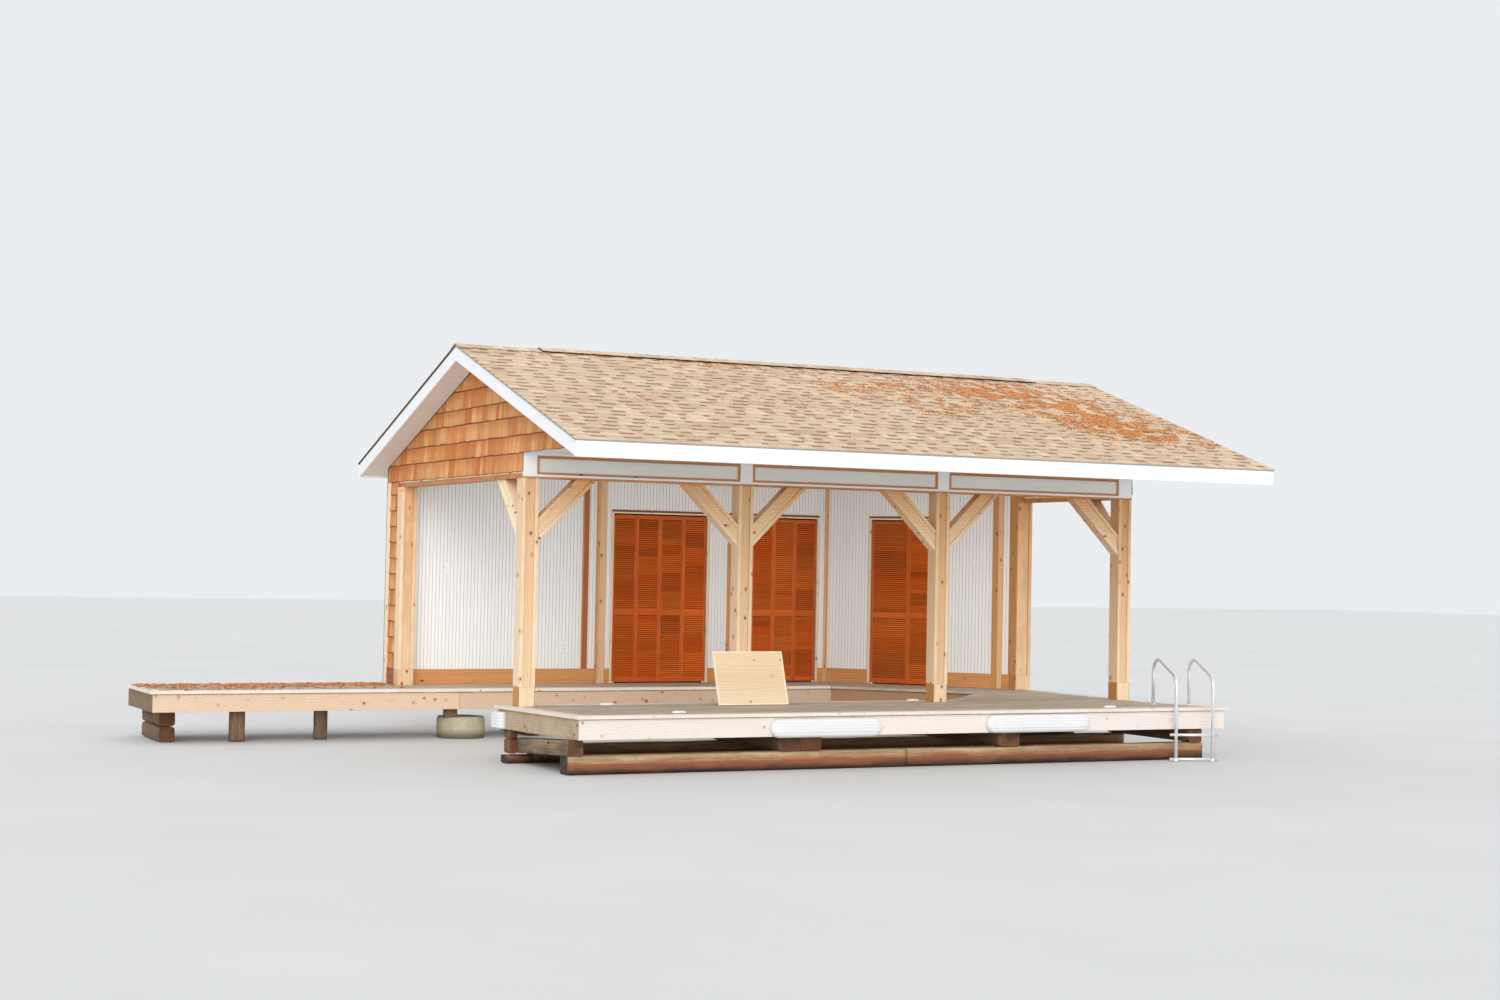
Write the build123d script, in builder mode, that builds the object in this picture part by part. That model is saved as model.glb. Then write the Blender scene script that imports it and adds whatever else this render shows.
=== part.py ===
from build123d import *
import os
from math import asin, cos, hypot, radians, sin

os.makedirs("parts", exist_ok=True)

# ---------------------------------------------------------------------------
# Boathouse over a boat slip.  Millimetres, +Z up, +X along the water front to
# the right, +Y towards the shore.  The numbers below are laid out from the
# front-left corner of post 1 at deck level, and OX, OY, OZ move them so that
# the origin is the middle of the whole object's footprint, at its lowest point.
# ---------------------------------------------------------------------------

# overall levels, measured from the deck surface
base_z = -580.0            # waterline, where logs, piles and pier end
deck_t = 35.0              # deck board thickness
deck_fascia_z = -235.0     # lower edge of the deck's edge boards
beam_z = 2335.0            # underside of the front beam and the side headers
ceil_z = 2600.0            # underside of ceiling and flat soffits

# posts
post_w = 175.0
post_x = (0.0, 2460.0, 4920.0, 7405.0)
front_len = post_x[3] + post_w

# roof
rake_over = 302.0          # roof beyond the gable walls
roof_edge = 12.0           # shingle edge beyond the white boards
eave_front = -2168.0
eave_back = 4810.0
eave_top = 2641.0          # top of the roof at the eave boards
ridge_top = 3795.0
deck_v = 26.0              # sheathing and shingles, measured upright
rafter_v = 122.0
soffit_v = 12.0
fascia_t = 25.0
fascia_h = 152.0
ridge_y = (eave_front + eave_back) / 2
slope = (ridge_top - eave_top) / (ridge_y - eave_front)

# walls
wall_front = 4120.0        # beadboard face of the long back wall
wall_t = 100.0
wall_back = 4570.0         # outside face of the back wall
outer_t = 110.0
bend_x = 5760.0            # where the beadboard wall turns towards the water
corner_post_y = 2050.0     # front face of the right corner post
clad_t = 20.0
base_h = 182.0
base_t = 19.0

# doors
door_t = 30.0
door_h = 2074.0
door_gap_z = 14.0
head_z = 2105.0
door1_x = (2755.0, 4037.0)
door2_x = (4375.0, 5612.0)
door3_s = (620.0, 1630.0)  # along the slanted wall, from the bend

# deck outline, seen from above; the dock's ends are not square to its front
dock_fl = (70.0, -1430.0)
dock_fr = (7900.0, -1430.0)
flare = (7600.0, -400.0)
deck_x1 = 7600.0
deck_back = 4550.0
walk_x0 = -3050.0
slip_y0 = 340.0
slip_y1 = 3170.0
slip_a = (5320.0, slip_y0)
slip_tip = (6650.0, 1690.0)
slip_b = (5345.0, slip_y1)
dock_bl = (-137.0, slip_y0)
nosing = 30.0
edge_t = 38.0

OX = -(walk_x0 + dock_fr[0]) / 2
OY = -ridge_y
OZ = -base_z


def box(x0, x1, y0, y1, z0, z1, mode=Mode.ADD):
    """upright block between two corners, in layout coordinates"""
    with BuildSketch(Plane.XY.offset(z0 + OZ)) as outline:
        with Locations(((x0 + x1) / 2 + OX, (y0 + y1) / 2 + OY)):
            Rectangle(x1 - x0, y1 - y0)
    extrude(outline.sketch, amount=z1 - z0, mode=mode)


def plan(points, z0, z1, mode=Mode.ADD):
    """upright prism over a plan outline"""
    with BuildSketch(Plane.XY.offset(z0 + OZ)) as outline:
        with BuildLine():
            Polyline([(x + OX, y + OY) for x, y in points], close=True)
        make_face()
    extrude(outline.sketch, amount=z1 - z0, mode=mode)


def side(points, x0, x1, mode=Mode.ADD):
    """prism along X over an outline given as (y, z)"""
    with BuildSketch(Plane.YZ.offset(x0 + OX)) as outline:
        with BuildLine():
            Polyline([(y + OY, z + OZ) for y, z in points], close=True)
        make_face()
    extrude(outline.sketch, amount=x1 - x0, mode=mode)


def front(points, y0, y1, mode=Mode.ADD):
    """prism along Y over an outline given as (x, z)"""
    with BuildSketch(Plane.XZ.offset(-(y0 + OY))) as outline:
        with BuildLine():
            Polyline([(x + OX, z + OZ) for x, z in points], close=True)
        make_face()
    extrude(outline.sketch, amount=-(y1 - y0), mode=mode)


def roof_z(y, below=0.0):
    """height of the roof surface over y, less an upright distance"""
    return ridge_top - slope * abs(y - ridge_y) - below


under = deck_v + rafter_v              # to the underside of the rafters
sh = under + soffit_v                  # to the underside of the soffit boards
lid_z = ceil_z + soffit_v              # top of the ceiling and flat soffit
y_flat = eave_front + (lid_z - (eave_top - under)) / slope      # rafters' underside at the top of the flat soffit
y_flat_b = eave_back - (ceil_z - (eave_top - under)) / slope    # and at ceiling height over the back wall
yf2 = eave_front + (ceil_z - (eave_top - sh)) / slope           # sloping soffit meets flat soffit


def finish(part, name):
    part.label = name
    export_step(part, "parts/" + name + ".step")


# ---------------------------------------------------------------- crib and piles
log_h = 186.0
log_w = 200.0
log_top = base_z + log_h
log_y0 = -1300.0

with BuildPart() as crib_logs:
    box(30, 7640, log_y0, log_y0 + log_w, base_z, log_top)
    # the rear log's left end has sunk
    box(200, 7560, 60, 260, base_z, log_top)
    box(-90, 200, 60, 240, base_z, base_z + 85)
finish(crib_logs.part, "crib_logs")

with BuildPart() as crib_cross_timbers:
    # the left one slopes down to its slip end, with a short block over that end
    side([(log_y0 - 12, deck_fascia_z), (log_y0 + 30, deck_fascia_z), (245, deck_fascia_z - 100), (245, base_z + 85), (60, base_z + 85),
          (log_y0 + 210, log_top), (log_y0 - 12, log_top)], 20, 186)
    side([(60, deck_fascia_z), (245, deck_fascia_z), (245, deck_fascia_z - 100), (60, deck_fascia_z - 88)], -60, 20)
    side([(60, deck_fascia_z - 88), (245, deck_fascia_z - 100), (245, base_z + 85), (60, base_z + 85)], -60, 20)
    for x0, x1 in ((2333, 2560), (2565, 2804), (4965, 5206), (7467, 7619)):
        box(x0, x1, log_y0 - 12, 260, log_top, deck_fascia_z)
finish(crib_cross_timbers.part, "crib_cross_timbers")

with BuildPart() as shore_supports:
    for x in (-2800, 1500, 2900, 4300):
        box(x - 90, x + 90, slip_y1 + 300, 4400, base_z, deck_fascia_z)
    for x in (7130, 7420):
        box(x - 90, x + 90, 1000, 4400, base_z, deck_fascia_z)
    box(6150, 6330, 2500, 4400, base_z, deck_fascia_z)
    box(-2125, -1946, 3350, 3529, base_z, deck_fascia_z)
    box(-1115, -1011, 3450, 3600, base_z, deck_fascia_z)
    # block on the round pier
    box(375, 460, 3260, 3420, base_z + 245, deck_fascia_z)
finish(shore_supports.part, "shore_supports")

with BuildPart() as round_pier:
    with BuildSketch(Plane.XY.offset(base_z + OZ)):
        with Locations((597 + OX, 3480 + OY)):
            Circle(282)
    extrude(amount=245)
finish(round_pier.part, "round_pier")


def inset(p, q, d):
    """line p-q moved d to its left"""
    L = hypot(q[0] - p[0], q[1] - p[1])
    nx, ny = -(q[1] - p[1]) / L * d, (q[0] - p[0]) / L * d
    return (p[0] + nx, p[1] + ny), (q[0] + nx, q[1] + ny)


def meet(a, b, c, d):
    """crossing of line a-b with line c-d"""
    r = (b[0] - a[0], b[1] - a[1])
    s = (d[0] - c[0], d[1] - c[1])
    t = ((c[0] - a[0]) * s[1] - (c[1] - a[1]) * s[0]) / (r[0] * s[1] - r[1] * s[0])
    return (a[0] + r[0] * t, a[1] + r[1] * t)


# the whole deck's outline, anticlockwise from the front-left corner
outline_pts = [dock_fl, dock_fr, flare, (deck_x1, deck_back), (walk_x0, deck_back), (walk_x0, slip_y1), slip_b, slip_tip, slip_a, dock_bl]


def ring(d):
    """corners of the deck outline moved d inwards"""
    n = len(outline_pts)
    lines = [inset(outline_pts[i], outline_pts[(i + 1) % n], d) for i in range(n)]
    return [meet(*lines[i - 1], *lines[i]) for i in range(n)]


out_ring = ring(nosing)
in_ring = ring(nosing + edge_t)
rim_ring = ring(nosing + edge_t + 1)


def slip_x(y, d):
    """x of the slip's pointed end at y, d into the deck"""
    p, q = (slip_a, slip_tip) if y < slip_tip[1] else (slip_tip, slip_b)
    return p[0] + (y - p[1]) * (q[0] - p[0]) / (q[1] - p[1]) + d * 1.42


# ---------------------------------------------------------------- deck framing
y_rim0 = dock_fl[1] + nosing + edge_t + 1
y_rim1 = slip_y0 - nosing - edge_t - 1
with BuildPart() as dock_frame:
    for i in range(13):
        x = 140 + i * 608.0
        box(x, x + 38, y_rim0 + 38, y_rim1 - 38, deck_fascia_z, -deck_t)
    box(140, 7474, y_rim0, y_rim0 + 38, deck_fascia_z, -deck_t)
    box(140, 7474, y_rim1 - 38, y_rim1, deck_fascia_z, -deck_t)
finish(dock_frame.part, "dock_frame")

with BuildPart() as shore_frame:
    for i in range(18):
        x = walk_x0 + nosing + edge_t + 2 + i * 600.0
        if x < 7480:
            box(x, x + 38, slip_y1 + nosing + edge_t, deck_back - nosing - edge_t - 20, deck_fascia_z, -deck_t)
    for y in (520, 1000, 1480, 1960, 2440, 2920):
        xs = max(slip_x(y, nosing + edge_t), slip_x(y + 38, nosing + edge_t))
        box(xs + 10, deck_x1 - nosing - edge_t, y, y + 38, deck_fascia_z, -deck_t)
finish(shore_frame.part, "shore_frame")

# ---------------------------------------------------------------- edge boards
ef = -deck_t
with BuildPart() as dock_edge_boards:
    o, n = out_ring, in_ring
    plan([o[9], o[0], o[1], o[2], o[3], n[3], n[2], n[1], n[0], n[9]], deck_fascia_z, ef)
finish(dock_edge_boards.part, "dock_edge_boards")

with BuildPart() as walk_edge_boards:
    o, n = out_ring, in_ring
    plan([(-20.0, o[4][1]), o[4], o[5], o[6], o[7], o[8], o[9], n[9], n[8], n[7], n[6], n[5], n[4], (-20.0, n[4][1])], deck_fascia_z, ef)
finish(walk_edge_boards.part, "walk_edge_boards")

# ---------------------------------------------------------------- decking
with BuildPart() as dock_decking:
    plan([dock_fl, dock_fr, flare, (deck_x1, slip_y0), dock_bl], -deck_t, 0)
finish(dock_decking.part, "dock_decking")

with BuildPart() as right_decking:
    plan([slip_a, (deck_x1, slip_y0), (deck_x1, slip_y1), slip_b, slip_tip], -deck_t, 0)
finish(right_decking.part, "right_decking")

with BuildPart() as walk_decking:
    plan([(walk_x0, slip_y1), (deck_x1, slip_y1), (deck_x1, deck_back), (walk_x0, deck_back)], -deck_t, 0)
finish(walk_decking.part, "walk_decking")

# ---------------------------------------------------------------- posts
with BuildPart() as front_posts:
    for x in post_x:
        box(x, x + post_w, 0, post_w, 0, beam_z)
finish(front_posts.part, "front_posts")

with BuildPart() as corner_posts:
    box(-28, 162, wall_front - 165, wall_front, 0, beam_z)
    box(front_len - 237, front_len - 18, corner_post_y, corner_post_y + 180, 0, beam_z)
finish(corner_posts.part, "corner_posts")

# ---------------------------------------------------------------- braces
brace_lo = 650.0
brace_hi = 415.0
brace_t = 140.0


def brace_pts(a, sign):
    """knee brace from post face a, running in direction sign"""
    return [(a, beam_z - brace_lo), (a + sign * brace_lo, beam_z), (a + sign * brace_hi, beam_z), (a, beam_z - brace_hi)]


by0 = (post_w - brace_t) / 2
with BuildPart() as front_braces:
    for i, x in enumerate(post_x):
        if i < 3:
            front(brace_pts(x + post_w, 1), by0, by0 + brace_t)
        if i > 0:
            front(brace_pts(x, -1), by0, by0 + brace_t)
finish(front_braces.part, "front_braces")

with BuildPart() as side_braces:
    for x in (post_x[0] + by0, post_x[3] + by0):
        side(brace_pts(post_w, 1), x, x + brace_t)
finish(side_braces.part, "side_braces")

# ---------------------------------------------------------------- beams
panel_z = (2376.0, 2570.0)
panels = ((post_w, 2460.0), (2460.0 + post_w, 4920.0), (4920.0 + post_w, 7405.0))
with BuildPart() as front_beam:
    box(0, front_len, 0, post_w, beam_z + 18, ceil_z)
    for a, b in panels:
        box(a, b, 0, 16, panel_z[0], panel_z[1], mode=Mode.SUBTRACT)
finish(front_beam.part, "front_beam")

with BuildPart() as beam_trim:
    for a, b in panels:
        box(a, b, 0, 16, panel_z[0], panel_z[1])
        box(a + 26, b - 26, 0, 16, panel_z[0] + 24, panel_z[1] - 28, mode=Mode.SUBTRACT)
    box(0, front_len, 0, post_w, beam_z, beam_z + 18)
finish(beam_trim.part, "beam_trim")

with BuildPart() as side_headers:
    box(0, 140, post_w, wall_front, beam_z, ceil_z)
    box(front_len - 140, front_len, post_w, corner_post_y + 180, beam_z, ceil_z)
finish(side_headers.part, "side_headers")

# ---------------------------------------------------------------- back walls
# the slanted wall runs from the bend to the right corner post
sx0, sy0 = bend_x, wall_front
sx1, sy1 = front_len - 180.0, corner_post_y + 110.0
s_len = hypot(sx1 - sx0, sy1 - sy0)
ux, uy = (sx1 - sx0) / s_len, (sy1 - sy0) / s_len
vx, vy = -uy, ux           # into the wall, away from the slip
if vy < 0:
    vx, vy = -vx, -vy


def slant(s, d):
    """point on the slanted wall: s along it from the bend, d behind its face"""
    return (sx0 + ux * s + vx * d, sy0 + uy * s + vy * d)


def slant_box(s0, s1, d0, d1, z0, z1, mode=Mode.ADD):
    plan([slant(s0, d0), slant(s1, d0), slant(s1, d1), slant(s0, d1)], z0, z1, mode=mode)


with BuildPart() as back_wall:
    # straight part, its right end cut to the mitre at the bend
    p, q = slant(0, wall_t), slant(1000, wall_t)
    m = meet(p, q, (0, wall_front + wall_t), (1, wall_front + wall_t))
    plan([(110, wall_front), (bend_x, wall_front), m, (110, wall_front + wall_t)], 0, ceil_z)
    for a, b in (door1_x, door2_x):
        box(a, b, wall_front - 10, wall_front + wall_t + 10, 0, head_z, mode=Mode.SUBTRACT)
finish(back_wall.part, "back_wall")

with BuildPart() as slanted_wall:
    plan([(bend_x, wall_front), slant(s_len, 0), slant(s_len, wall_t), m], 0, ceil_z)
    slant_box(door3_s[0], door3_s[1], -10, wall_t + 10, 0, head_z, mode=Mode.SUBTRACT)
    # clear of the corner post, the header and the end wall
    box(front_len - 180, front_len, corner_post_y, corner_post_y + 180, -1, ceil_z + 1, mode=Mode.SUBTRACT)
    box(front_len - 237, front_len - 180, corner_post_y, corner_post_y + 180, -1, beam_z, mode=Mode.SUBTRACT)
    box(front_len - 140, front_len, 0, corner_post_y + 180, beam_z - 1, ceil_z + 1, mode=Mode.SUBTRACT)
    box(front_len - 110, front_len, corner_post_y, wall_back, -1, ceil_z + 1, mode=Mode.SUBTRACT)
finish(slanted_wall.part, "slanted_wall")

with BuildPart() as outer_back_wall:
    ya, yb = wall_back - outer_t, wall_back - clad_t
    side([(ya, 0), (yb, 0), (yb, roof_z(yb, under)), (y_flat_b, ceil_z), (ya, ceil_z)], 0, front_len)
finish(outer_back_wall.part, "outer_back_wall")

with BuildPart() as end_walls:
    box(0, 110, wall_front, wall_back - outer_t, 0, ceil_z)
    box(front_len - 110, front_len, corner_post_y + 180, wall_back - outer_t, 0, ceil_z)
finish(end_walls.part, "end_walls")

# shingle cladding on the outside walls
with BuildPart() as wall_shingles:
    ya, yb = wall_back - clad_t, wall_back
    side([(ya, 0), (yb, 0), (yb, roof_z(yb, sh)), (ya, roof_z(ya, sh))], -clad_t, front_len + clad_t)
    box(-clad_t, 0, wall_front, wall_back - clad_t, 0, 2400)
    box(front_len, front_len + clad_t, corner_post_y + 180, wall_back - clad_t, 0, 2400)
finish(wall_shingles.part, "wall_shingles")

# ---------------------------------------------------------------- trim on the inside faces
with BuildPart() as baseboards:
    yb = wall_front - base_t
    for a, b in ((162, 2531), (2644, door1_x[0] - 28), (door1_x[1] + 28, door2_x[0] - 48), (door2_x[1] + 28, bend_x - 35)):
        box(a, b, yb, wall_front, 0, base_h)
    slant_box(32, door3_s[0] - 28, -base_t, 0, 0, base_h)
    slant_box(door3_s[1] + 28, 2256, -base_t, 0, 0, base_h)
    # up to the corner post
    post_side = ((front_len - 237, 0), (front_len - 237, 1))
    plan([slant(2392, 0), slant(2392, -base_t), meet(slant(0, -base_t), slant(100, -base_t), *post_side), meet(slant(0, 0), slant(100, 0), *post_side)], 0, base_h)
finish(baseboards.part, "baseboards")

with BuildPart() as wall_battens:
    box(2345, 2424, wall_front - 19, wall_front, base_h, ceil_z)
    box(2531, 2644, wall_front - 38, wall_front, 0, ceil_z)
    # at the bend
    q0, q1 = slant(32, 0), slant(32, -19)
    m2 = meet(slant(0, -19), slant(100, -19), (0, wall_front - 19), (1, wall_front - 19))
    plan([(bend_x - 35, wall_front), (bend_x - 35, wall_front - 19), m2, q1, q0, (bend_x, wall_front)], 0, ceil_z)
    slant_box(2256, 2392, -30, 0, 0, ceil_z)
finish(wall_battens.part, "wall_battens")

# ---------------------------------------------------------------- folding doors
stile = 25.0
rail_top = 50.0
rail_mid = 76.0
rail_bot = 54.0


def louvre_panel(place, a, b):
    """one leaf between a and b: a frame round two thin fields where the slats lie"""
    place(a, b, 0, door_t, door_gap_z, door_gap_z + door_h, Mode.ADD)
    mid = 841.0
    for z0, z1 in ((door_gap_z + rail_bot, mid), (mid + rail_mid, door_gap_z + door_h - rail_top)):
        place(a + stile, b - stile, -1, 11, z0, z1, Mode.SUBTRACT)
        place(a + stile, b - stile, door_t - 11, door_t + 1, z0, z1, Mode.SUBTRACT)


def straight_place(a, b, d0, d1, z0, z1, mode):
    box(a, b, wall_front + 12 + d0, wall_front + 12 + d1, z0, z1, mode=mode)


def slant_place(a, b, d0, d1, z0, z1, mode):
    slant_box(a, b, 12 + d0, 12 + d1, z0, z1, mode=mode)


with BuildPart() as folding_door_1:
    w = (door1_x[1] - door1_x[0] - 8) / 4
    for i in range(4):
        a = door1_x[0] + 4 + w * i
        louvre_panel(straight_place, a + 2, a + w - 2)
finish(folding_door_1.part, "folding_door_1")

with BuildPart() as folding_door_2:
    w = (door2_x[1] - door2_x[0] - 8) / 4
    for i in range(4):
        a = door2_x[0] + 4 + w * i
        louvre_panel(straight_place, a + 2, a + w - 2)
finish(folding_door_2.part, "folding_door_2")

with BuildPart() as folding_door_3:
    w = (door3_s[1] - door3_s[0] - 8) / 2
    for i in range(2):
        a = door3_s[0] + 4 + w * i
        louvre_panel(slant_place, a + 2, a + w - 2)
finish(folding_door_3.part, "folding_door_3")

with BuildPart() as door_head_trim:
    for a, b in (door1_x, door2_x):
        box(a, b, wall_front + 5, wall_front + 50, door_gap_z + door_h + 3, head_z)
    slant_box(door3_s[0], door3_s[1], 5, 50, door_gap_z + door_h + 3, head_z)
    for a, b in (door1_x, door2_x):
        box(a - 28, b + 28, wall_front - 15, wall_front, head_z, head_z + 44)
    slant_box(door3_s[0] - 28, door3_s[1] + 28, -15, 0, head_z, head_z + 44)
    # jamb casings
    for a, b in ((door1_x[0] - 28, door1_x[0]), (door1_x[1], door1_x[1] + 28), (door2_x[0] - 48, door2_x[0]), (door2_x[1], door2_x[1] + 28)):
        box(a, b, wall_front - 15, wall_front, 0, head_z)
    for a, b in ((door3_s[0] - 28, door3_s[0]), (door3_s[1], door3_s[1] + 28)):
        slant_box(a, b, -15, 0, 0, head_z)
finish(door_head_trim.part, "door_head_trim")

with BuildPart() as wall_plates:
    box(560, 630, wall_front - 6, wall_front, 1330, 1445)
    box(2090, 2160, wall_front - 6, wall_front, 390, 505)
finish(wall_plates.part, "wall_plates")

# ---------------------------------------------------------------- gables
with BuildPart() as gable_walls:
    for x0, x1 in ((0.0, 90.0), (front_len - 90.0, front_len)):
        side([(y_flat, lid_z), (0, lid_z), (0, ceil_z), (y_flat_b, ceil_z), (ridge_y, roof_z(ridge_y, under))], x0, x1)
finish(gable_walls.part, "gable_walls")

with BuildPart() as gable_shingles:
    for x0, x1 in ((-clad_t, 0.0), (front_len, front_len + clad_t)):
        side([(yf2, ceil_z), (0, ceil_z), (0, 2400), (wall_back - clad_t, 2400), (wall_back - clad_t, roof_z(wall_back - clad_t, sh)),
              (ridge_y, roof_z(ridge_y, sh))], x0, x1)
finish(gable_shingles.part, "gable_shingles")

# ---------------------------------------------------------------- roof
rx0, rx1 = -rake_over, front_len + rake_over
with BuildPart() as roof_front:
    side([(eave_front - roof_edge, roof_z(eave_front - roof_edge, deck_v)), (ridge_y, roof_z(ridge_y, deck_v)), (ridge_y, ridge_top),
          (eave_front - roof_edge, roof_z(eave_front - roof_edge))], rx0 - roof_edge, rx1 + roof_edge)
finish(roof_front.part, "roof_front")

with BuildPart() as roof_back:
    side([(eave_back + roof_edge, roof_z(eave_back + roof_edge, deck_v)), (ridge_y, roof_z(ridge_y, deck_v)), (ridge_y, ridge_top),
          (eave_back + roof_edge, roof_z(eave_back + roof_edge))], rx0 - roof_edge, rx1 + roof_edge)
finish(roof_back.part, "roof_back")

with BuildPart() as ridge_vent:
    vx0, vx1 = 640.0, 7010.0
    hw = 150.0
    side([(ridge_y - hw, roof_z(ridge_y - hw)), (ridge_y, ridge_top), (ridge_y + hw, roof_z(ridge_y + hw)),
          (ridge_y + hw, roof_z(ridge_y + hw) + 18), (ridge_y, ridge_top + 24), (ridge_y - hw, roof_z(ridge_y - hw) + 18)], vx0, vx1)
finish(ridge_vent.part, "ridge_vent")

rafter_x = [0.0 + 20] + [20 + i * (front_len - 40 - 38) / 12 for i in range(1, 12)] + [front_len - 58]
with BuildPart() as roof_frame:
    for x in rafter_x:
        if 95 < x < front_len - 135:
            side([(eave_front + fascia_t, roof_z(eave_front + fascia_t, under)), (ridge_y - 20, roof_z(ridge_y - 20, under)),
                  (ridge_y - 20, roof_z(ridge_y - 20, deck_v)), (eave_front + fascia_t, roof_z(eave_front + fascia_t, deck_v))], x, x + 38)
    for x in rafter_x:
        if 95 < x < front_len - 135:
            side([(eave_back - fascia_t, roof_z(eave_back - fascia_t, under)), (ridge_y + 20, roof_z(ridge_y + 20, under)),
                  (ridge_y + 20, roof_z(ridge_y + 20, deck_v)), (eave_back - fascia_t, roof_z(eave_back - fascia_t, deck_v))], x, x + 38)
    box(95, front_len - 95, ridge_y - 19, ridge_y + 19, ridge_top - 200, ridge_top - deck_v - 8)
finish(roof_frame.part, "roof_frame")

with BuildPart() as eave_fascias:
    box(rx0, rx1, eave_front, eave_front + fascia_t, eave_top - deck_v - fascia_h, eave_top - deck_v)
    box(rx0, rx1, eave_back - fascia_t, eave_back, eave_top - deck_v - fascia_h, eave_top - deck_v)
finish(eave_fascias.part, "eave_fascias")

with BuildPart() as rake_boards:
    for x0 in (rx0, rx1 - fascia_t):
        yf, yk = eave_front + fascia_t, eave_back - fascia_t
        side([(yf, roof_z(yf, deck_v)), (ridge_y, roof_z(ridge_y, deck_v)), (yk, roof_z(yk, deck_v)),
              (yk, roof_z(yk, deck_v + fascia_h)), (ridge_y, roof_z(ridge_y, deck_v + fascia_h)), (yf, roof_z(yf, deck_v + fascia_h))],
             x0, x0 + fascia_t)
finish(rake_boards.part, "rake_boards")

# sloping soffits under the gable overhangs
with BuildPart() as rake_soffits:
    for x0, x1 in ((rx0 + fascia_t, -clad_t), (front_len + clad_t, rx1 - fascia_t)):
        yf, yk = eave_front + fascia_t, eave_back - fascia_t
        side([(yf, roof_z(yf, under)), (ridge_y, roof_z(ridge_y, under)), (yk, roof_z(yk, under)),
              (yk, roof_z(yk, sh)), (ridge_y, roof_z(ridge_y, sh)), (yf, roof_z(yf, sh))], x0, x1)
finish(rake_soffits.part, "rake_soffits")

with BuildPart() as eave_soffits:
    yf = eave_front + fascia_t
    side([(yf, roof_z(yf, under)), (yf, roof_z(yf, sh)), (yf2, ceil_z), (0, ceil_z), (0, lid_z), (y_flat, lid_z)], 0, front_len)
    yk = eave_back - fascia_t
    side([(wall_back, roof_z(wall_back, under)), (wall_back, roof_z(wall_back, sh)), (yk, roof_z(yk, sh)), (yk, roof_z(yk, under))],
         -clad_t, front_len + clad_t)
finish(eave_soffits.part, "eave_soffits")

with BuildPart() as ceiling:
    box(90, front_len - 90, 0, y_flat_b - 40, ceil_z, lid_z)
finish(ceiling.part, "ceiling")

# ---------------------------------------------------------------- loose and fixed fittings
with BuildPart() as dock_bumpers:
    for x0, x1, zc in ((2161, 3431, -150), (4716, 6015, -142)):
        with BuildSketch(Plane.XZ.offset(-(dock_fl[1] + nosing + OY))):
            with Locations(((x0 + x1) / 2 + OX, zc + OZ)):
                SlotOverall(x1 - x0, 192)
        extrude(amount=85)
    # corner pad, round the dock's back-left corner
    p0, p1 = out_ring[0], out_ring[9]
    q = (p1[0] + (p0[0] - p1[0]) * 0.115, p1[1] + (p0[1] - p1[1]) * 0.115)
    plan([(p1[0] + 150, p1[1]), (p1[0] + 150, p1[1] + 68), (p1[0] - 40, p1[1] + 68), (p1[0] - 78, p1[1] + 30), (q[0] - 78, q[1]), q, p1],
         deck_fascia_z, -58)
finish(dock_bumpers.part, "dock_bumpers")

with BuildPart() as deck_lights:
    for x, y in ((1041, 150), (1274, -1150), (4799, 245), (6452, -1200)):
        with BuildSketch(Plane.XY.offset(OZ)):
            with Locations((x + OX, y + OY)):
                Ellipse(81, 42)
        extrude(amount=24)
finish(deck_lights.part, "deck_lights")

# sign board leaning on post 2
sign_w, sign_h, sign_t = 825.0, 590.0, 24.0
sign_x0, sign_y0 = 2165.0, -215.0
sign_lean = asin(190.0 / sign_h)
with BuildPart() as sign_board:
    ly, lz = sin(sign_lean) * sign_h, cos(sign_lean) * sign_h
    ty, tz = cos(sign_lean) * sign_t, -sin(sign_lean) * sign_t
    side([(sign_y0, -tz), (sign_y0 + ty, 0), (sign_y0 + ty + ly, lz), (sign_y0 + ly, lz - tz)], sign_x0, sign_x0 + sign_w)
finish(sign_board.part, "sign_board")

# swim ladder, set at an angle to the dock's front
rail_r = 19.0
lad_p = (7124.0, -1500.0)
lad_a = radians(16.2)
lad_w = 425.0
lad_d = 722.0
lad_u = (cos(lad_a), -sin(lad_a))
lad_v = (sin(lad_a), cos(lad_a))
with BuildPart() as swim_ladder:
    for k in (0.0, lad_w):
        o = (lad_p[0] + lad_u[0] * k + OX, lad_p[1] + lad_u[1] * k + OY, OZ)
        hoop = Plane(origin=o, x_dir=(lad_v[0], lad_v[1], 0), z_dir=(lad_u[0], lad_u[1], 0))
        with BuildLine(hoop) as path:
            FilletPolyline([(lad_d, 0), (lad_d, 575), (0, 335), (0, base_z)], radius=165)
        with BuildSketch(Plane(origin=path.line @ 0, z_dir=path.line % 0)):
            Circle(rail_r)
        sweep(path=path.line)
    for z in (-555, -290):
        o = (lad_p[0] - lad_u[0] * 68 + OX, lad_p[1] - lad_u[1] * 68 + OY, z + OZ)
        with BuildSketch(Plane(origin=o, x_dir=(lad_v[0], lad_v[1], 0), z_dir=(lad_u[0], lad_u[1], 0))):
            Circle(15)
        extrude(amount=lad_w + 150)
finish(swim_ladder.part, "swim_ladder")
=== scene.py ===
import bpy
import math
import random
import numpy as np
from mathutils import Matrix, Vector, noise


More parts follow.
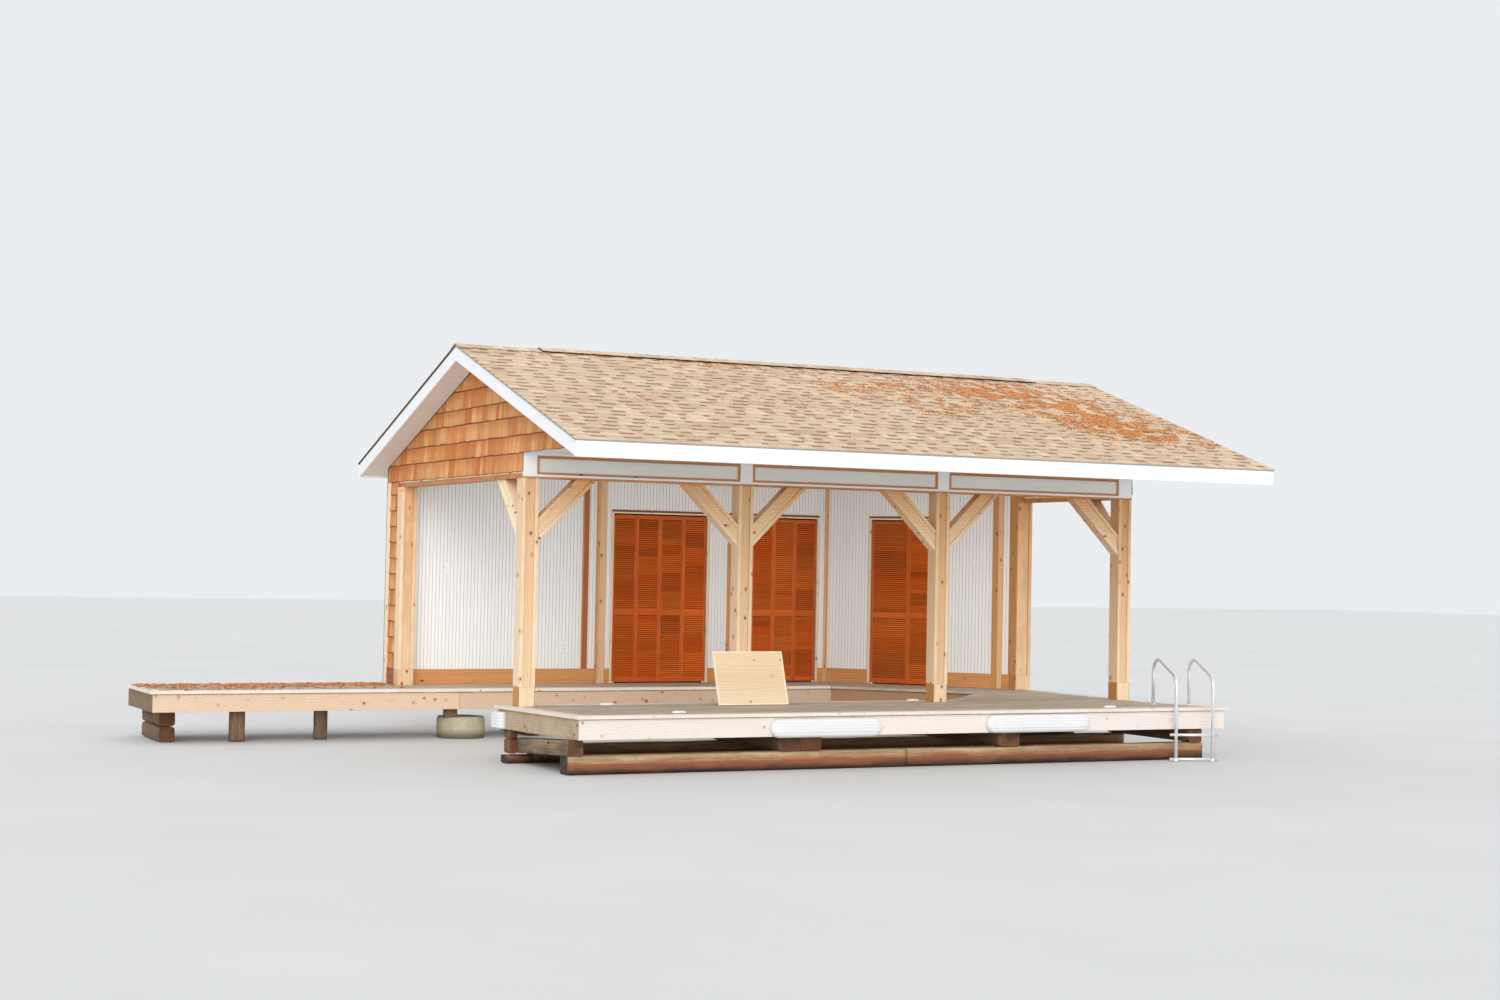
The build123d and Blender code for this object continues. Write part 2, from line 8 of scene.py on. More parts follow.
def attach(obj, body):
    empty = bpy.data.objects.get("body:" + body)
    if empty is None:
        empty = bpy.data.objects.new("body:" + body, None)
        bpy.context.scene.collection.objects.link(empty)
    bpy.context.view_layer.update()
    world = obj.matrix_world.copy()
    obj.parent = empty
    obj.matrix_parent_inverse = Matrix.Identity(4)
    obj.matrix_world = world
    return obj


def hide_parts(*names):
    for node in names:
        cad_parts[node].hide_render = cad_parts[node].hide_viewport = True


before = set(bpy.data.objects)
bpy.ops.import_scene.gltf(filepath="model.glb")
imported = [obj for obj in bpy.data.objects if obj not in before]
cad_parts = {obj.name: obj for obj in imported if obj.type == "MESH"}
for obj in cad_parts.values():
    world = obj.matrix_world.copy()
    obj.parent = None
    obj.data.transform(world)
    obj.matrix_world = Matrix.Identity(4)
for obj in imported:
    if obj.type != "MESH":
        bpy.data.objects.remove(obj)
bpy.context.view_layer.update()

# ------------------------------------------------------------------ layout, mm
# measured from the front-left corner of post 1 at deck level
OX, OY, OZ = -2425.0, -1321.0, 580.0
OFF = np.array([OX, OY, OZ])
BASE_Z = -580.0
DECK_T = 35.0
FASCIA_Z = -235.0
BEAM_Z = 2335.0
CEIL_Z = 2600.0
POST_W = 175.0
POST_X = (0.0, 2460.0, 4920.0, 7405.0)
FRONT = 7580.0
RAKE = 302.0
ROOF_EDGE = 12.0
EAVE_F, EAVE_B = -2168.0, 4810.0
EAVE_TOP, RIDGE_TOP = 2641.0, 3795.0
DECK_V, RAFTER_V, SOFFIT_V = 26.0, 122.0, 12.0
FASCIA_T, FASCIA_H = 25.0, 152.0
RIDGE_Y = (EAVE_F + EAVE_B) / 2
SLOPE = (RIDGE_TOP - EAVE_TOP) / (RIDGE_Y - EAVE_F)
WALL_F, WALL_T, WALL_B = 4120.0, 100.0, 4570.0
BEND_X = 5760.0
CORNER_Y = 2050.0
CLAD = 20.0
BASE_H, BASE_T = 182.0, 19.0
DOOR_T, DOOR_H, DOOR_GAP, HEAD_Z = 30.0, 2074.0, 14.0, 2105.0
DOOR1 = (2755.0, 4037.0)
DOOR2 = (4375.0, 5612.0)
DOOR3 = (620.0, 1630.0)
DOCK_FL, DOCK_FR = (70.0, -1430.0), (7900.0, -1430.0)
FLARE = (7600.0, -400.0)
DECK_X1, DECK_BACK, WALK_X0 = 7600.0, 4550.0, -3050.0
SLIP_Y0, SLIP_Y1 = 340.0, 3170.0
SLIP_A, SLIP_TIP, SLIP_B = (5320.0, 340.0), (6650.0, 1690.0), (5345.0, 3170.0)
DOCK_BL = (-137.0, 340.0)
NOSING, EDGE_T = 30.0, 38.0
UNDER = DECK_V + RAFTER_V
SH = UNDER + SOFFIT_V
LID_Z = CEIL_Z + SOFFIT_V
RX0, RX1 = -RAKE, FRONT + RAKE

rng = random.Random(20261)


def roof_z(y, below=0.0):
    return RIDGE_TOP - SLOPE * abs(y - RIDGE_Y) - below


YF2 = EAVE_F + (CEIL_Z - (EAVE_TOP - SH)) / SLOPE


# ------------------------------------------------------------------ mesh building
class Shape:
    """closed solids gathered into one mesh; g is the place along, across and through
    the board in metres, tint is (random, brightness, warmth, spare)"""

    def __init__(self):
        self.V, self.F, self.G, self.T, self.M, self.S, self.n = [], [], [], [], [], [], 0

    def add(self, verts, faces, g=None, tint=(0.5, 1.0, 0.5, 1.0), mat=0, smooth=False):
        verts = np.asarray(verts, float)
        k = len(verts)
        g = verts / 1000.0 if g is None else np.asarray(g, float)
        t = np.asarray(tint, float)
        if t.ndim == 1:
            t = np.tile(t, (k, 1))
        self.V.append(verts)
        self.G.append(g)
        self.T.append(t)
        n = self.n
        self.F += [tuple(i + n for i in f) for f in faces]
        self.M += [mat] * len(faces)
        self.S += [smooth] * len(faces)
        self.n += k

    def make(self, name, mats, replaces=()):
        me = bpy.data.meshes.new(name)
        V = (np.vstack(self.V) + OFF) / 1000.0
        me.from_pydata(V.tolist(), [], self.F)
        a = me.attributes.new("g", "FLOAT_VECTOR", "POINT")
        a.data.foreach_set("vector", np.vstack(self.G).ravel().astype(np.float32))
        a = me.attributes.new("tint", "FLOAT_COLOR", "POINT")
        a.data.foreach_set("color", np.vstack(self.T).ravel().astype(np.float32))
        me.polygons.foreach_set("material_index", self.M)
        me.polygons.foreach_set("use_smooth", self.S)
        for m in mats:
            me.materials.append(m)
        me.update()
        ob = bpy.data.objects.new(name, me)
        bpy.context.scene.collection.objects.link(ob)
        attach(ob, "root")
        if replaces:
            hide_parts(*replaces)
        return ob


def _hex_faces():
    cor = [np.array([(i >> 2) & 1, (i >> 1) & 1, i & 1], float) for i in range(8)]
    pos = {}
    for i in range(8):
        for n in range(3):
            p = cor[i].copy()
            for k in range(3):
                if k != n:
                    p[k] += 0.1 * (1 - 2 * p[k])
            pos[3 * i + n] = p
    bit = (4, 2, 1)
    faces = []
    for n in range(3):
        p, q = [k for k in range(3) if k != n]
        for s in (0, 1):
            b = bit[n] * s
            faces.append([3 * (b) + n, 3 * (b + bit[p]) + n, 3 * (b + bit[p] + bit[q]) + n, 3 * (b + bit[q]) + n])
    for e in range(3):
        p, q = [k for k in range(3) if k != e]
        for bp in (0, 1):
            for bq in (0, 1):
                i0 = bit[p] * bp + bit[q] * bq
                i1 = i0 + bit[e]
                faces.append([3 * i0 + p, 3 * i1 + p, 3 * i1 + q, 3 * i0 + q])
    for i in range(8):
        faces.append([3 * i, 3 * i + 1, 3 * i + 2])
    out = []
    mid = np.array([0.5, 0.5, 0.5])
    for f in faces:
        P = [pos[k] for k in f]
        nrm = np.cross(P[1] - P[0], P[2] - P[0])
        if nrm @ (sum(P) / len(P) - mid) < 0:
            f = f[::-1]
        out.append(tuple(f))
    return out


CH_FACES = _hex_faces()
PL_FACES = [(0, 1, 3, 2), (4, 6, 7, 5), (0, 4, 5, 1), (2, 3, 7, 6), (0, 2, 6, 4), (1, 5, 7, 3)]
NB = [[i ^ 4, i ^ 2, i ^ 1] for i in range(8)]


def tone(b=0.5, lo=0.93, hi=1.05, r=None):
    return (rng.random() if r is None else r, rng.uniform(lo, hi), b, 1.0)


def hexa(S, C, r=2.0, tint=None, mat=0, g0=None):
    """eight corners, bit 4 along the length, bit 2 across, bit 1 through; edges chamfered by r.
    tint may be a function of a corner's point"""
    C = np.asarray(C, float)
    L = [np.linalg.norm(C[4] - C[0]), np.linalg.norm(C[2] - C[0]), np.linalg.norm(C[1] - C[0])]
    off = np.array([rng.uniform(0, 60), rng.uniform(0, 60), rng.uniform(0, 60)]) if g0 is None else np.asarray(g0, float)
    ax = [(C[4] - C[0]) / max(L[0], 1e-6), (C[2] - C[0]) / max(L[1], 1e-6), (C[1] - C[0]) / max(L[2], 1e-6)]
    left = np.dot(np.cross(C[4] - C[0], C[2] - C[0]), C[1] - C[0]) < 0
    if tint is None:
        tint = tone()
    if r > 0:
        r = min(r, 0.3 * min(np.linalg.norm(C[i] - C[j]) for i, j in ((0, 1), (0, 2), (0, 4), (7, 6), (7, 5), (7, 3))))
    if r > 0.05:
        V = np.empty((24, 3))
        for i in range(8):
            d = []
            for k in range(3):
                e = C[NB[i][k]] - C[i]
                d.append(e / max(np.linalg.norm(e), 1e-6) * r)
            V[3 * i] = C[i] + d[1] + d[2]
            V[3 * i + 1] = C[i] + d[0] + d[2]
            V[3 * i + 2] = C[i] + d[0] + d[1]
        faces = CH_FACES
    else:
        V = C
        faces = PL_FACES
    if left:
        faces = [f[::-1] for f in faces]
    rel = (V - C[0]) / 1000.0
    G = np.stack([rel @ ax[0], rel @ ax[1], rel @ ax[2]], 1) + off
    if callable(tint):
        T = np.array([tint(v) for v in V])
    else:
        T = tint
    S.add(V, faces, G, T, mat)


def box(S, x0, x1, y0, y1, z0, z1, along="x", r=2.0, tint=None, mat=0, g0=None):
    lo, hi = np.array([x0, y0, z0], float), np.array([x1, y1, z1], float)
    order = {"x": (0, 1, 2), "y": (1, 0, 2), "z": (2, 0, 1)}[along]
    if along == "x" and (z1 - z0) > (y1 - y0):
        order = (0, 2, 1)
    if along == "y" and (z1 - z0) > (x1 - x0):
        order = (1, 2, 0)
    if along == "z" and (y1 - y0) > (x1 - x0):
        order = (2, 1, 0)
    C = []
    for i in range(8):
        b = ((i >> 2) & 1, (i >> 1) & 1, i & 1)
        p = lo.copy()
        for k in range(3):
            if b[k]:
                p[order[k]] = hi[order[k]]
        C.append(p)
    hexa(S, C, r, tint, mat, g0)


def quad(S, p00, p10, p01, p11, vec, r=2.0, tint=None, mat=0, g0=None):
    """p[along][across], thickened by vec"""
    vec = np.asarray(vec, float)
    C = []
    for i in range(8):
        a, b, c = (i >> 2) & 1, (i >> 1) & 1, i & 1
        p = np.asarray(((p00, p01), (p10, p11))[a][b], float)
        C.append(p + vec * c)
    hexa(S, C, r, tint, mat, g0)


def P3(xy, z):
    return np.array([xy[0], xy[1], z], float)


def meet(a, b, c, d):
    r = (b[0] - a[0], b[1] - a[1])
    s = (d[0] - c[0], d[1] - c[1])
    t = ((c[0] - a[0]) * s[1] - (c[1] - a[1]) * s[0]) / (r[0] * s[1] - r[1] * s[0])
    return (a[0] + r[0] * t, a[1] + r[1] * t)


def inset(p, q, d):
    L = math.hypot(q[0] - p[0], q[1] - p[1])
    nx, ny = -(q[1] - p[1]) / L * d, (q[0] - p[0]) / L * d
    return (p[0] + nx, p[1] + ny), (q[0] + nx, q[1] + ny)


OUTLINE = [DOCK_FL, DOCK_FR, FLARE, (DECK_X1, DECK_BACK), (WALK_X0, DECK_BACK), (WALK_X0, SLIP_Y1), SLIP_B, SLIP_TIP, SLIP_A, DOCK_BL]


def ring(d):
    n = len(OUTLINE)
    lines = [inset(OUTLINE[i], OUTLINE[(i + 1) % n], d) for i in range(n)]
    return [meet(*lines[i - 1], *lines[i]) for i in range(n)]


def along(p, q, t):
    return (p[0] + (q[0] - p[0]) * t, p[1] + (q[1] - p[1]) * t)


# slanted wall
SX0, SY0 = BEND_X, WALL_F
SX1, SY1 = FRONT - 180.0, CORNER_Y + 110.0
S_LEN = math.hypot(SX1 - SX0, SY1 - SY0)
UX, UY = (SX1 - SX0) / S_LEN, (SY1 - SY0) / S_LEN
VX, VY = -UY, UX


def slant(s, d, z=None):
    p = (SX0 + UX * s + VX * d, SY0 + UY * s + VY * d)
    return p if z is None else np.array([p[0], p[1], z])


def sbox(S, s0, s1, d0, d1, z0, z1, along_="s", r=2.0, tint=None, mat=0):
    """box set along the slanted wall"""
    if along_ == "z":
        quad(S, slant(s0, d0, z0), slant(s0, d0, z1), slant(s1, d0, z0), slant(s1, d0, z1), slant(s0, d1, 0) - slant(s0, d0, 0), r, tint, mat)
    else:
        quad(S, slant(s0, d0, z0), slant(s1, d0, z0), slant(s0, d0, z1), slant(s1, d0, z1), slant(s0, d1, 0) - slant(s0, d0, 0), r, tint, mat)


# ------------------------------------------------------------------ materials
def lin(c):
    c = c / 255.0
    return c / 12.92 if c <= 0.04045 else ((c + 0.055) / 1.055) ** 2.4


def rgb(r, g, b):
    return (lin(r), lin(g), lin(b), 1.0)


class Mat:
    def __init__(self, name, rough=0.6, spec=0.4, metal=0.0):
        self.m = bpy.data.materials.new(name)
        self.m.use_nodes = True
        self.t = self.m.node_tree
        self.t.nodes.clear()
        self.out = self.t.nodes.new("ShaderNodeOutputMaterial")
        self.b = self.t.nodes.new("ShaderNodeBsdfPrincipled")
        self.t.links.new(self.b.outputs[0], self.out.inputs[0])
        self.b.inputs["Roughness"].default_value = rough
        self.b.inputs["Specular IOR Level"].default_value = spec
        self.b.inputs["Metallic"].default_value = metal

    def put(self, sock, v):
        if isinstance(v, bpy.types.NodeSocket):
            self.t.links.new(v, sock)
        elif v is not None:
            sock.default_value = v

    def attr(self, name):
        n = self.t.nodes.new("ShaderNodeAttribute")
        n.attribute_name = name
        return n.outputs["Vector"]

    def tint(self):
        n = self.t.nodes.new("ShaderNodeAttribute")
        n.attribute_name = "tint"
        s = self.t.nodes.new("ShaderNodeSeparateColor")
        self.t.links.new(n.outputs["Color"], s.inputs[0])
        return s.outputs[0], s.outputs[1], s.outputs[2]

    def obj(self):
        return self.t.nodes.new("ShaderNodeTexCoord").outputs["Object"]

    def sep(self, v):
        n = self.t.nodes.new("ShaderNodeSeparateXYZ")
        self.put(n.inputs[0], v)
        return n.outputs

    def scale(self, v, s):
        n = self.t.nodes.new("ShaderNodeVectorMath")
        n.operation = "MULTIPLY"
        self.put(n.inputs[0], v)
        n.inputs[1].default_value = s
        return n.outputs[0]

    def vadd(self, a, b):
        n = self.t.nodes.new("ShaderNodeVectorMath")
        n.operation = "ADD"
        self.put(n.inputs[0], a)
        self.put(n.inputs[1], b)
        return n.outputs[0]

    def noise(self, v, scale=1.0, detail=3.0, rough=0.55, dist=0.0, color=False):
        n = self.t.nodes.new("ShaderNodeTexNoise")
        self.put(n.inputs["Vector"], v)
        n.inputs["Scale"].default_value = scale
        n.inputs["Detail"].default_value = detail
        n.inputs["Roughness"].default_value = rough
        n.inputs["Distortion"].default_value = dist
        return n.outputs["Color" if color else "Fac"]

    def voronoi(self, v, scale=1.0, feature="F1", out="Distance"):
        n = self.t.nodes.new("ShaderNodeTexVoronoi")
        n.feature = feature
        self.put(n.inputs["Vector"], v)
        n.inputs["Scale"].default_value = scale
        return n.outputs[out]

    def wave(self, v, scale=1.0, dist=4.0, detail=2.0, dscale=1.0, axis="Y"):
        n = self.t.nodes.new("ShaderNodeTexWave")
        n.wave_type = "BANDS"
        n.bands_direction = axis
        self.put(n.inputs["Vector"], v)
        n.inputs["Scale"].default_value = scale
        n.inputs["Distortion"].default_value = dist
        n.inputs["Detail"].default_value = detail
        n.inputs["Detail Scale"].default_value = dscale
        return n.outputs["Fac"]

    def ramp(self, f, stops, interp="LINEAR"):
        n = self.t.nodes.new("ShaderNodeValToRGB")
        n.color_ramp.interpolation = interp
        e = n.color_ramp.elements
        while len(e) < len(stops):
            e.new(0.5)
        for k, (p, c) in enumerate(stops):
            e[k].position = p
            e[k].color = c if len(c) == 4 else (*c, 1.0)
        self.put(n.inputs[0], f)
        return n.outputs[0]

    def mix(self, f, a, b, mode="MIX"):
        n = self.t.nodes.new("ShaderNodeMix")
        n.data_type = "RGBA"
        n.blend_type = mode
        self.put(n.inputs[0], f)
        self.put(n.inputs[6], a)
        self.put(n.inputs[7], b)
        return n.outputs[2]

    def math(self, op, a, b=None, c=None, clamp=False):
        n = self.t.nodes.new("ShaderNodeMath")
        n.operation = op
        n.use_clamp = clamp
        self.put(n.inputs[0], a)
        if b is not None:
            self.put(n.inputs[1], b)
        if c is not None:
            self.put(n.inputs[2], c)
        return n.outputs[0]

    def smooth(self, v, lo, hi):
        n = self.t.nodes.new("ShaderNodeMapRange")
        n.interpolation_type = "SMOOTHSTEP"
        self.put(n.inputs[0], v)
        n.inputs[1].default_value = lo
        n.inputs[2].default_value = hi
        n.inputs[3].default_value = 0.0
        n.inputs[4].default_value = 1.0
        return n.outputs[0]

    def span(self, v, a, b):
        """noise 0-1 spread to a-b"""
        n = self.t.nodes.new("ShaderNodeMapRange")
        self.put(n.inputs[0], v)
        n.inputs[1].default_value = 0.25
        n.inputs[2].default_value = 0.75
        n.inputs[3].default_value = a
        n.inputs[4].default_value = b
        return n.outputs[0]

    def times(self, col, f):
        """colour times a number"""
        n = self.t.nodes.new("ShaderNodeVectorMath")
        n.operation = "SCALE"
        self.put(n.inputs[0], col)
        self.put(n.inputs[3], f)
        return n.outputs[0]

    def bump(self, h, strength=0.3, dist=0.002):
        n = self.t.nodes.new("ShaderNodeBump")
        n.inputs["Strength"].default_value = strength
        n.inputs["Distance"].default_value = dist
        self.put(n.inputs["Height"], h)
        self.t.links.new(n.outputs[0], self.b.inputs["Normal"])

    def color(self, c):
        self.put(self.b.inputs["Base Color"], c)

    def rough(self, v):
        self.put(self.b.inputs["Roughness"], v)


def wood(name, light, dark, warm, knot, knot_r=0.10, ring=1.2, contrast=1.0, rlo=0.45, rhi=0.62, spec=0.35, bump=0.25, grime=None, grime_amt=0.0, knot_scale=(4.5, 7.0, 7.0)):
    """sawn wood: long grain, growth bands, knots; warm is the colour that tint's third number leads to"""
    M = Mat(name, spec=spec)
    g = M.attr("g")
    r, br, wm = M.tint()
    fine = M.noise(M.scale(g, (3.0, 170.0, 170.0)), 1.0, 2.0, 0.6)
    streak = M.noise(M.scale(g, (0.9, 24.0, 24.0)), 1.0, 4.0, 0.6)
    wobble = M.noise(M.scale(g, (1.2, 2.0, 2.0)), 1.0, 2.0, 0.5, color=True)
    gv = M.vadd(M.scale(g, (0.35, 9.0, 9.0)), M.scale(wobble, (0.0, 1.4, 1.4)))
    band = M.wave(gv, ring, 3.5, 2.0, 1.2)
    w = M.math("ADD", M.math("MULTIPLY", band, 0.42 * contrast), M.math("MULTIPLY", M.span(streak, 0.0, 1.0), 0.45 * contrast), clamp=True)
    w = M.math("ADD", w, M.math("MULTIPLY", M.math("SUBTRACT", fine, 0.5), 0.35), clamp=True)
    col = M.mix(w, light, dark)
    warm_col = M.mix(w, tuple(min(1.0, c * 1.12) for c in warm[:3]) + (1.0,), tuple(c * 0.72 for c in warm[:3]) + (1.0,))
    col = M.mix(wm, col, warm_col)
    # knots
    kv = M.vadd(M.scale(g, knot_scale), M.scale(M.noise(M.scale(g, (9.0, 9.0, 9.0)), 1.0, 1.0, 0.5, color=True), (0.12, 0.12, 0.12)))
    kd = M.voronoi(kv, 1.0)
    halo = M.math("MULTIPLY", M.math("SUBTRACT", 1.0, M.smooth(kd, knot_r * 1.0, knot_r * 2.3)), 0.45)
    core = M.math("SUBTRACT", 1.0, M.smooth(kd, knot_r * 0.72, knot_r * 1.05))
    col = M.mix(halo, col, M.mix(0.5, warm, knot))
    col = M.mix(core, col, knot)
    col = M.times(col, br)
    if grime is not None:
        patch = M.noise(M.scale(g, (1.3, 5.0, 5.0)), 1.0, 4.0, 0.65)
        col = M.mix(M.math("MULTIPLY", M.smooth(patch, 0.40, 0.68), grime_amt), col, grime)
    M.color(col)
    M.rough(M.span(streak, rlo, rhi))
    h = M.math("ADD", M.math("MULTIPLY", fine, 0.6), M.math("MULTIPLY", streak, 0.6))
    h = M.math("SUBTRACT", h, M.math("MULTIPLY", core, 0.5))
    M.bump(h, bump, 0.0015)
    return M.m


cedar = wood("cedar", rgb(252, 236, 210), rgb(240, 211, 168), rgb(220, 158, 90), rgb(128, 70, 38), knot_r=0.11, knot_scale=(5.6, 8.8, 8.8))
cedar_dark = wood("cedar_trim", rgb(228, 172, 110), rgb(198, 134, 74), rgb(182, 104, 54), rgb(104, 54, 26), knot_r=0.09)
pine = wood("pine_fascia", rgb(234, 211, 188), rgb(216, 184, 154), rgb(208, 158, 116), rgb(144, 88, 54), knot_r=0.10, contrast=0.8)
pale_board = wood("pale_fascia", rgb(240, 231, 224), rgb(224, 211, 201), rgb(214, 192, 174), rgb(164, 132, 108), knot_r=0.088, contrast=0.8)
grey_board = wood("weathered_fascia", rgb(208, 192, 166), rgb(168, 148, 122), rgb(180, 142, 104), rgb(92, 66, 48), knot_r=0.10, grime=rgb(138, 126, 108), grime_amt=0.45, rlo=0.6, rhi=0.8, bump=0.5)
sign_wood = wood("sign_pine", rgb(253, 240, 214), rgb(243, 219, 182), rgb(232, 198, 152), rgb(164, 112, 72), knot_r=0.06, contrast=0.8)
deck_wood = wood("deck_board", rgb(213, 201, 184), rgb(174, 160, 143), rgb(192, 168, 140), rgb(100, 84, 70), knot_r=0.085, contrast=0.9, grime=rgb(140, 130, 118), grime_amt=0.5, rlo=0.62, rhi=0.85, spec=0.25, bump=0.5)
nosing_wood = wood("deck_nosing", rgb(246, 236, 226), rgb(228, 212, 198), rgb(216, 192, 168), rgb(160, 128, 102), knot_r=0.08, contrast=0.7, grime=rgb(212, 198, 182), grime_amt=0.35, rlo=0.55, rhi=0.75, bump=0.35)
crib_wood = wood("crib_timber", rgb(160, 140, 116), rgb(104, 88, 72), rgb(128, 84, 56), rgb(58, 42, 32), knot_r=0.10, grime=rgb(70, 62, 52), grime_amt=0.75, rlo=0.6, rhi=0.9, spec=0.25, bump=0.9)
log_end = wood("log_end_grain", rgb(98, 92, 86), rgb(58, 54, 50), rgb(74, 58, 48), rgb(34, 30, 28), knot_r=0.05, grime=rgb(40, 38, 36), grime_amt=0.8, rlo=0.7, rhi=0.9, spec=0.2, bump=0.9)
tie_end = wood("tie_end_grain", rgb(132, 92, 66), rgb(84, 58, 42), rgb(118, 72, 48), rgb(46, 32, 26), knot_r=0.05, grime=rgb(60, 46, 38), grime_amt=0.7, rlo=0.7, rhi=0.9, spec=0.2, bump=0.9)
frame_wood = wood("framing_lumber", rgb(214, 188, 148), rgb(176, 144, 102), rgb(168, 128, 84), rgb(92, 60, 40), knot_r=0.10, grime=rgb(120, 100, 78), grime_amt=0.5, rlo=0.6, rhi=0.8)
louvre_wood = wood("door_stain", rgb(228, 106, 33), rgb(192, 72, 17), rgb(236, 132, 54), rgb(120, 34, 6), knot_r=0.03, contrast=0.9, rlo=0.4, rhi=0.55, spec=0.2, bump=0.2)


def log_material():
    """crib log: tan on top, redder below, dark and wet by the water"""
    M = Mat("crib_log", spec=0.3)
    g = M.attr("g")
    o = M.sep(M.obj())
    r, br, wm = M.tint()
    streak = M.noise(M.scale(g, (1.2, 22.0, 22.0)), 1.0, 5.0, 0.65)
    patch = M.noise(M.scale(g, (2.2, 7.0, 7.0)), 1.0, 4.0, 0.6)
    z = M.math("ADD", o[2], M.math("MULTIPLY", M.math("SUBTRACT", patch, 0.5), 0.09))
    col = M.ramp(M.math("DIVIDE", z, 0.2), [(0.0, rgb(36, 29, 26)), (0.16, rgb(66, 46, 38)), (0.28, rgb(128, 76, 52)), (0.48, rgb(166, 98, 68)), (0.58, rgb(184, 140, 100)), (0.92, rgb(206, 178, 138))])
    col = M.mix(M.math("MULTIPLY", M.smooth(streak, 0.35, 0.7), 0.55), col, rgb(96, 70, 50))
    mott = M.noise(M.scale(g, (9.0, 26.0, 26.0)), 1.0, 3.0, 0.6)
    col = M.times(col, M.span(mott, 0.78, 1.16))
    M.color(M.times(col, br))
    M.rough(M.span(patch, 0.45, 0.8))
    M.bump(M.math("ADD", streak, M.math("MULTIPLY", mott, 0.5)), 0.9, 0.004)
    return M.m


crib_log = log_material()


def shingle_material(name, stops, grain=1.0):
    """split cedar shingles: each its own colour, fine upright grain; painted shade darkens each butt and the band just
    below the next course
    """
    M = Mat(name, spec=0.22)
    g = M.attr("g")
    s = M.sep(g)
    r, br, wm = M.tint()
    col = M.ramp(r, stops)
    lines = M.noise(M.scale(g, (2.5, 130.0, 130.0)), 1.0, 3.0, 0.6)
    broad = M.noise(M.scale(g, (3.0, 22.0, 22.0)), 1.0, 3.0, 0.6)
    col = M.times(col, M.span(lines, 1.0 - 0.10 * grain, 1.0 + 0.08 * grain))
    col = M.mix(M.math("MULTIPLY", M.smooth(broad, 0.40, 0.66), 0.55), col, rgb(196, 112, 56))
    # third number of tint: 0 at the butt, 1 at the covered end
    col = M.mix(M.math("MULTIPLY", M.smooth(wm, 0.30, 0.84), 0.45), col, rgb(194, 104, 48))
    # painted shade: a dark line along the butt and a dark band just under the next course's butt, where its shadow
    # falls
    butt_shade = M.math("SUBTRACT", 1.0, M.smooth(wm, 0.012, 0.05))
    under = M.smooth(M.math("ADD", wm, M.math("MULTIPLY", M.math("SUBTRACT", lines, 0.5), 0.05)), 0.835, 0.885)
    col = M.mix(M.math("MULTIPLY", M.math("MAXIMUM", butt_shade, under), 0.78), col, rgb(92, 42, 20))
    col = M.times(col, br)
    M.color(col)
    M.rough(M.span(lines, 0.6, 0.8))
    M.bump(M.math("ADD", lines, M.math("MULTIPLY", broad, 0.6)), 0.55, 0.003)
    return M.m


gable_mat = shingle_material("gable_shingle", [(0.0, rgb(206, 128, 68)), (0.3, rgb(222, 154, 94)), (0.6, rgb(238, 184, 124)), (0.85, rgb(228, 164, 102)), (1.0, rgb(204, 120, 62))])


def roof_material(name, c0, c1, c2, dark, band, lo=0.5):
    """mineral granules; band darkens the part below the next course"""
    M = Mat(name, spec=0.18)
    g = M.attr("g")
    s = M.sep(g)
    r, br, wm = M.tint()
    o = M.obj()
    gran = M.noise(g, 330.0, 2.0, 0.7)
    cell = M.voronoi(g, 210.0, out="Color")
    csep = M.t.nodes.new("ShaderNodeSeparateColor")
    M.put(csep.inputs[0], cell)
    blot = M.noise(M.scale(o, (0.9, 1.4, 1.4)), 1.0, 4.0, 0.6)
    tab = M.noise(M.scale(g, (9.0, 9.0, 9.0)), 1.0, 3.0, 0.6)
    col = M.ramp(r, [(0.0, c0), (0.5, c1), (1.0, c2)])
    col = M.mix(M.math("MULTIPLY", M.smooth(csep.outputs[0], 0.62, 0.9), 0.26), col, dark)
    col = M.mix(M.math("MULTIPLY", M.smooth(csep.outputs[1], 0.75, 0.95), 0.35), col, rgb(246, 232, 208))
    col = M.times(col, M.span(gran, 0.86, 1.12))
    col = M.times(col, M.span(blot, 0.93, 1.06))
    col = M.times(col, M.span(tab, 0.93, 1.06))
    if band:
        # third number of tint runs from 0 at the butt to 1 under the next course
        shade = M.math("MULTIPLY", M.smooth(M.math("ADD", wm, M.math("MULTIPLY", M.math("SUBTRACT", tab, 0.5), 0.3)), lo, lo + 0.16), band)
        col = M.mix(shade, col, dark)
    col = M.times(col, br)
    M.color(col)
    M.rough(0.92)
    M.bump(gran, 0.6, 0.002)
    return M.m


roof_top = roof_material("roof_shingle", rgb(219, 193, 164), rgb(228, 204, 177), rgb(208, 179, 149), rgb(146, 118, 94), 0.45, 0.80)
roof_low = roof_material("roof_shingle_base", rgb(216, 190, 161), rgb(224, 199, 171), rgb(205, 175, 146), rgb(124, 96, 76), 0.80, 0.60)


def painted(name, c, c2, rough=0.5, spec=0.4, dirt=0.10, stretch=(1.0, 9.0, 9.0), bump=0.12):
    """brushed paint or coated metal with faint unevenness and a little dirt"""
    M = Mat(name, spec=spec)
    g = M.attr("g")
    r, br, wm = M.tint()
    n = M.noise(M.scale(g, stretch), 1.6, 4.0, 0.6)
    f = M.noise(M.scale(g, (20.0, 160.0, 160.0)), 1.0, 2.0, 0.6)
    col = M.mix(M.span(n, 0.0, 1.0), c, c2)
    spot = M.noise(M.scale(g, (6.0, 14.0, 14.0)), 1.0, 5.0, 0.7)
    col = M.mix(M.math("MULTIPLY", M.smooth(spot, 0.56, 0.78), dirt), col, rgb(150, 138, 118))
    col = M.times(col, br)
    M.color(col)
    M.rough(M.span(n, rough - 0.07, rough + 0.08))
    M.bump(M.math("ADD", f, n), bump, 0.0008)
    return M.m


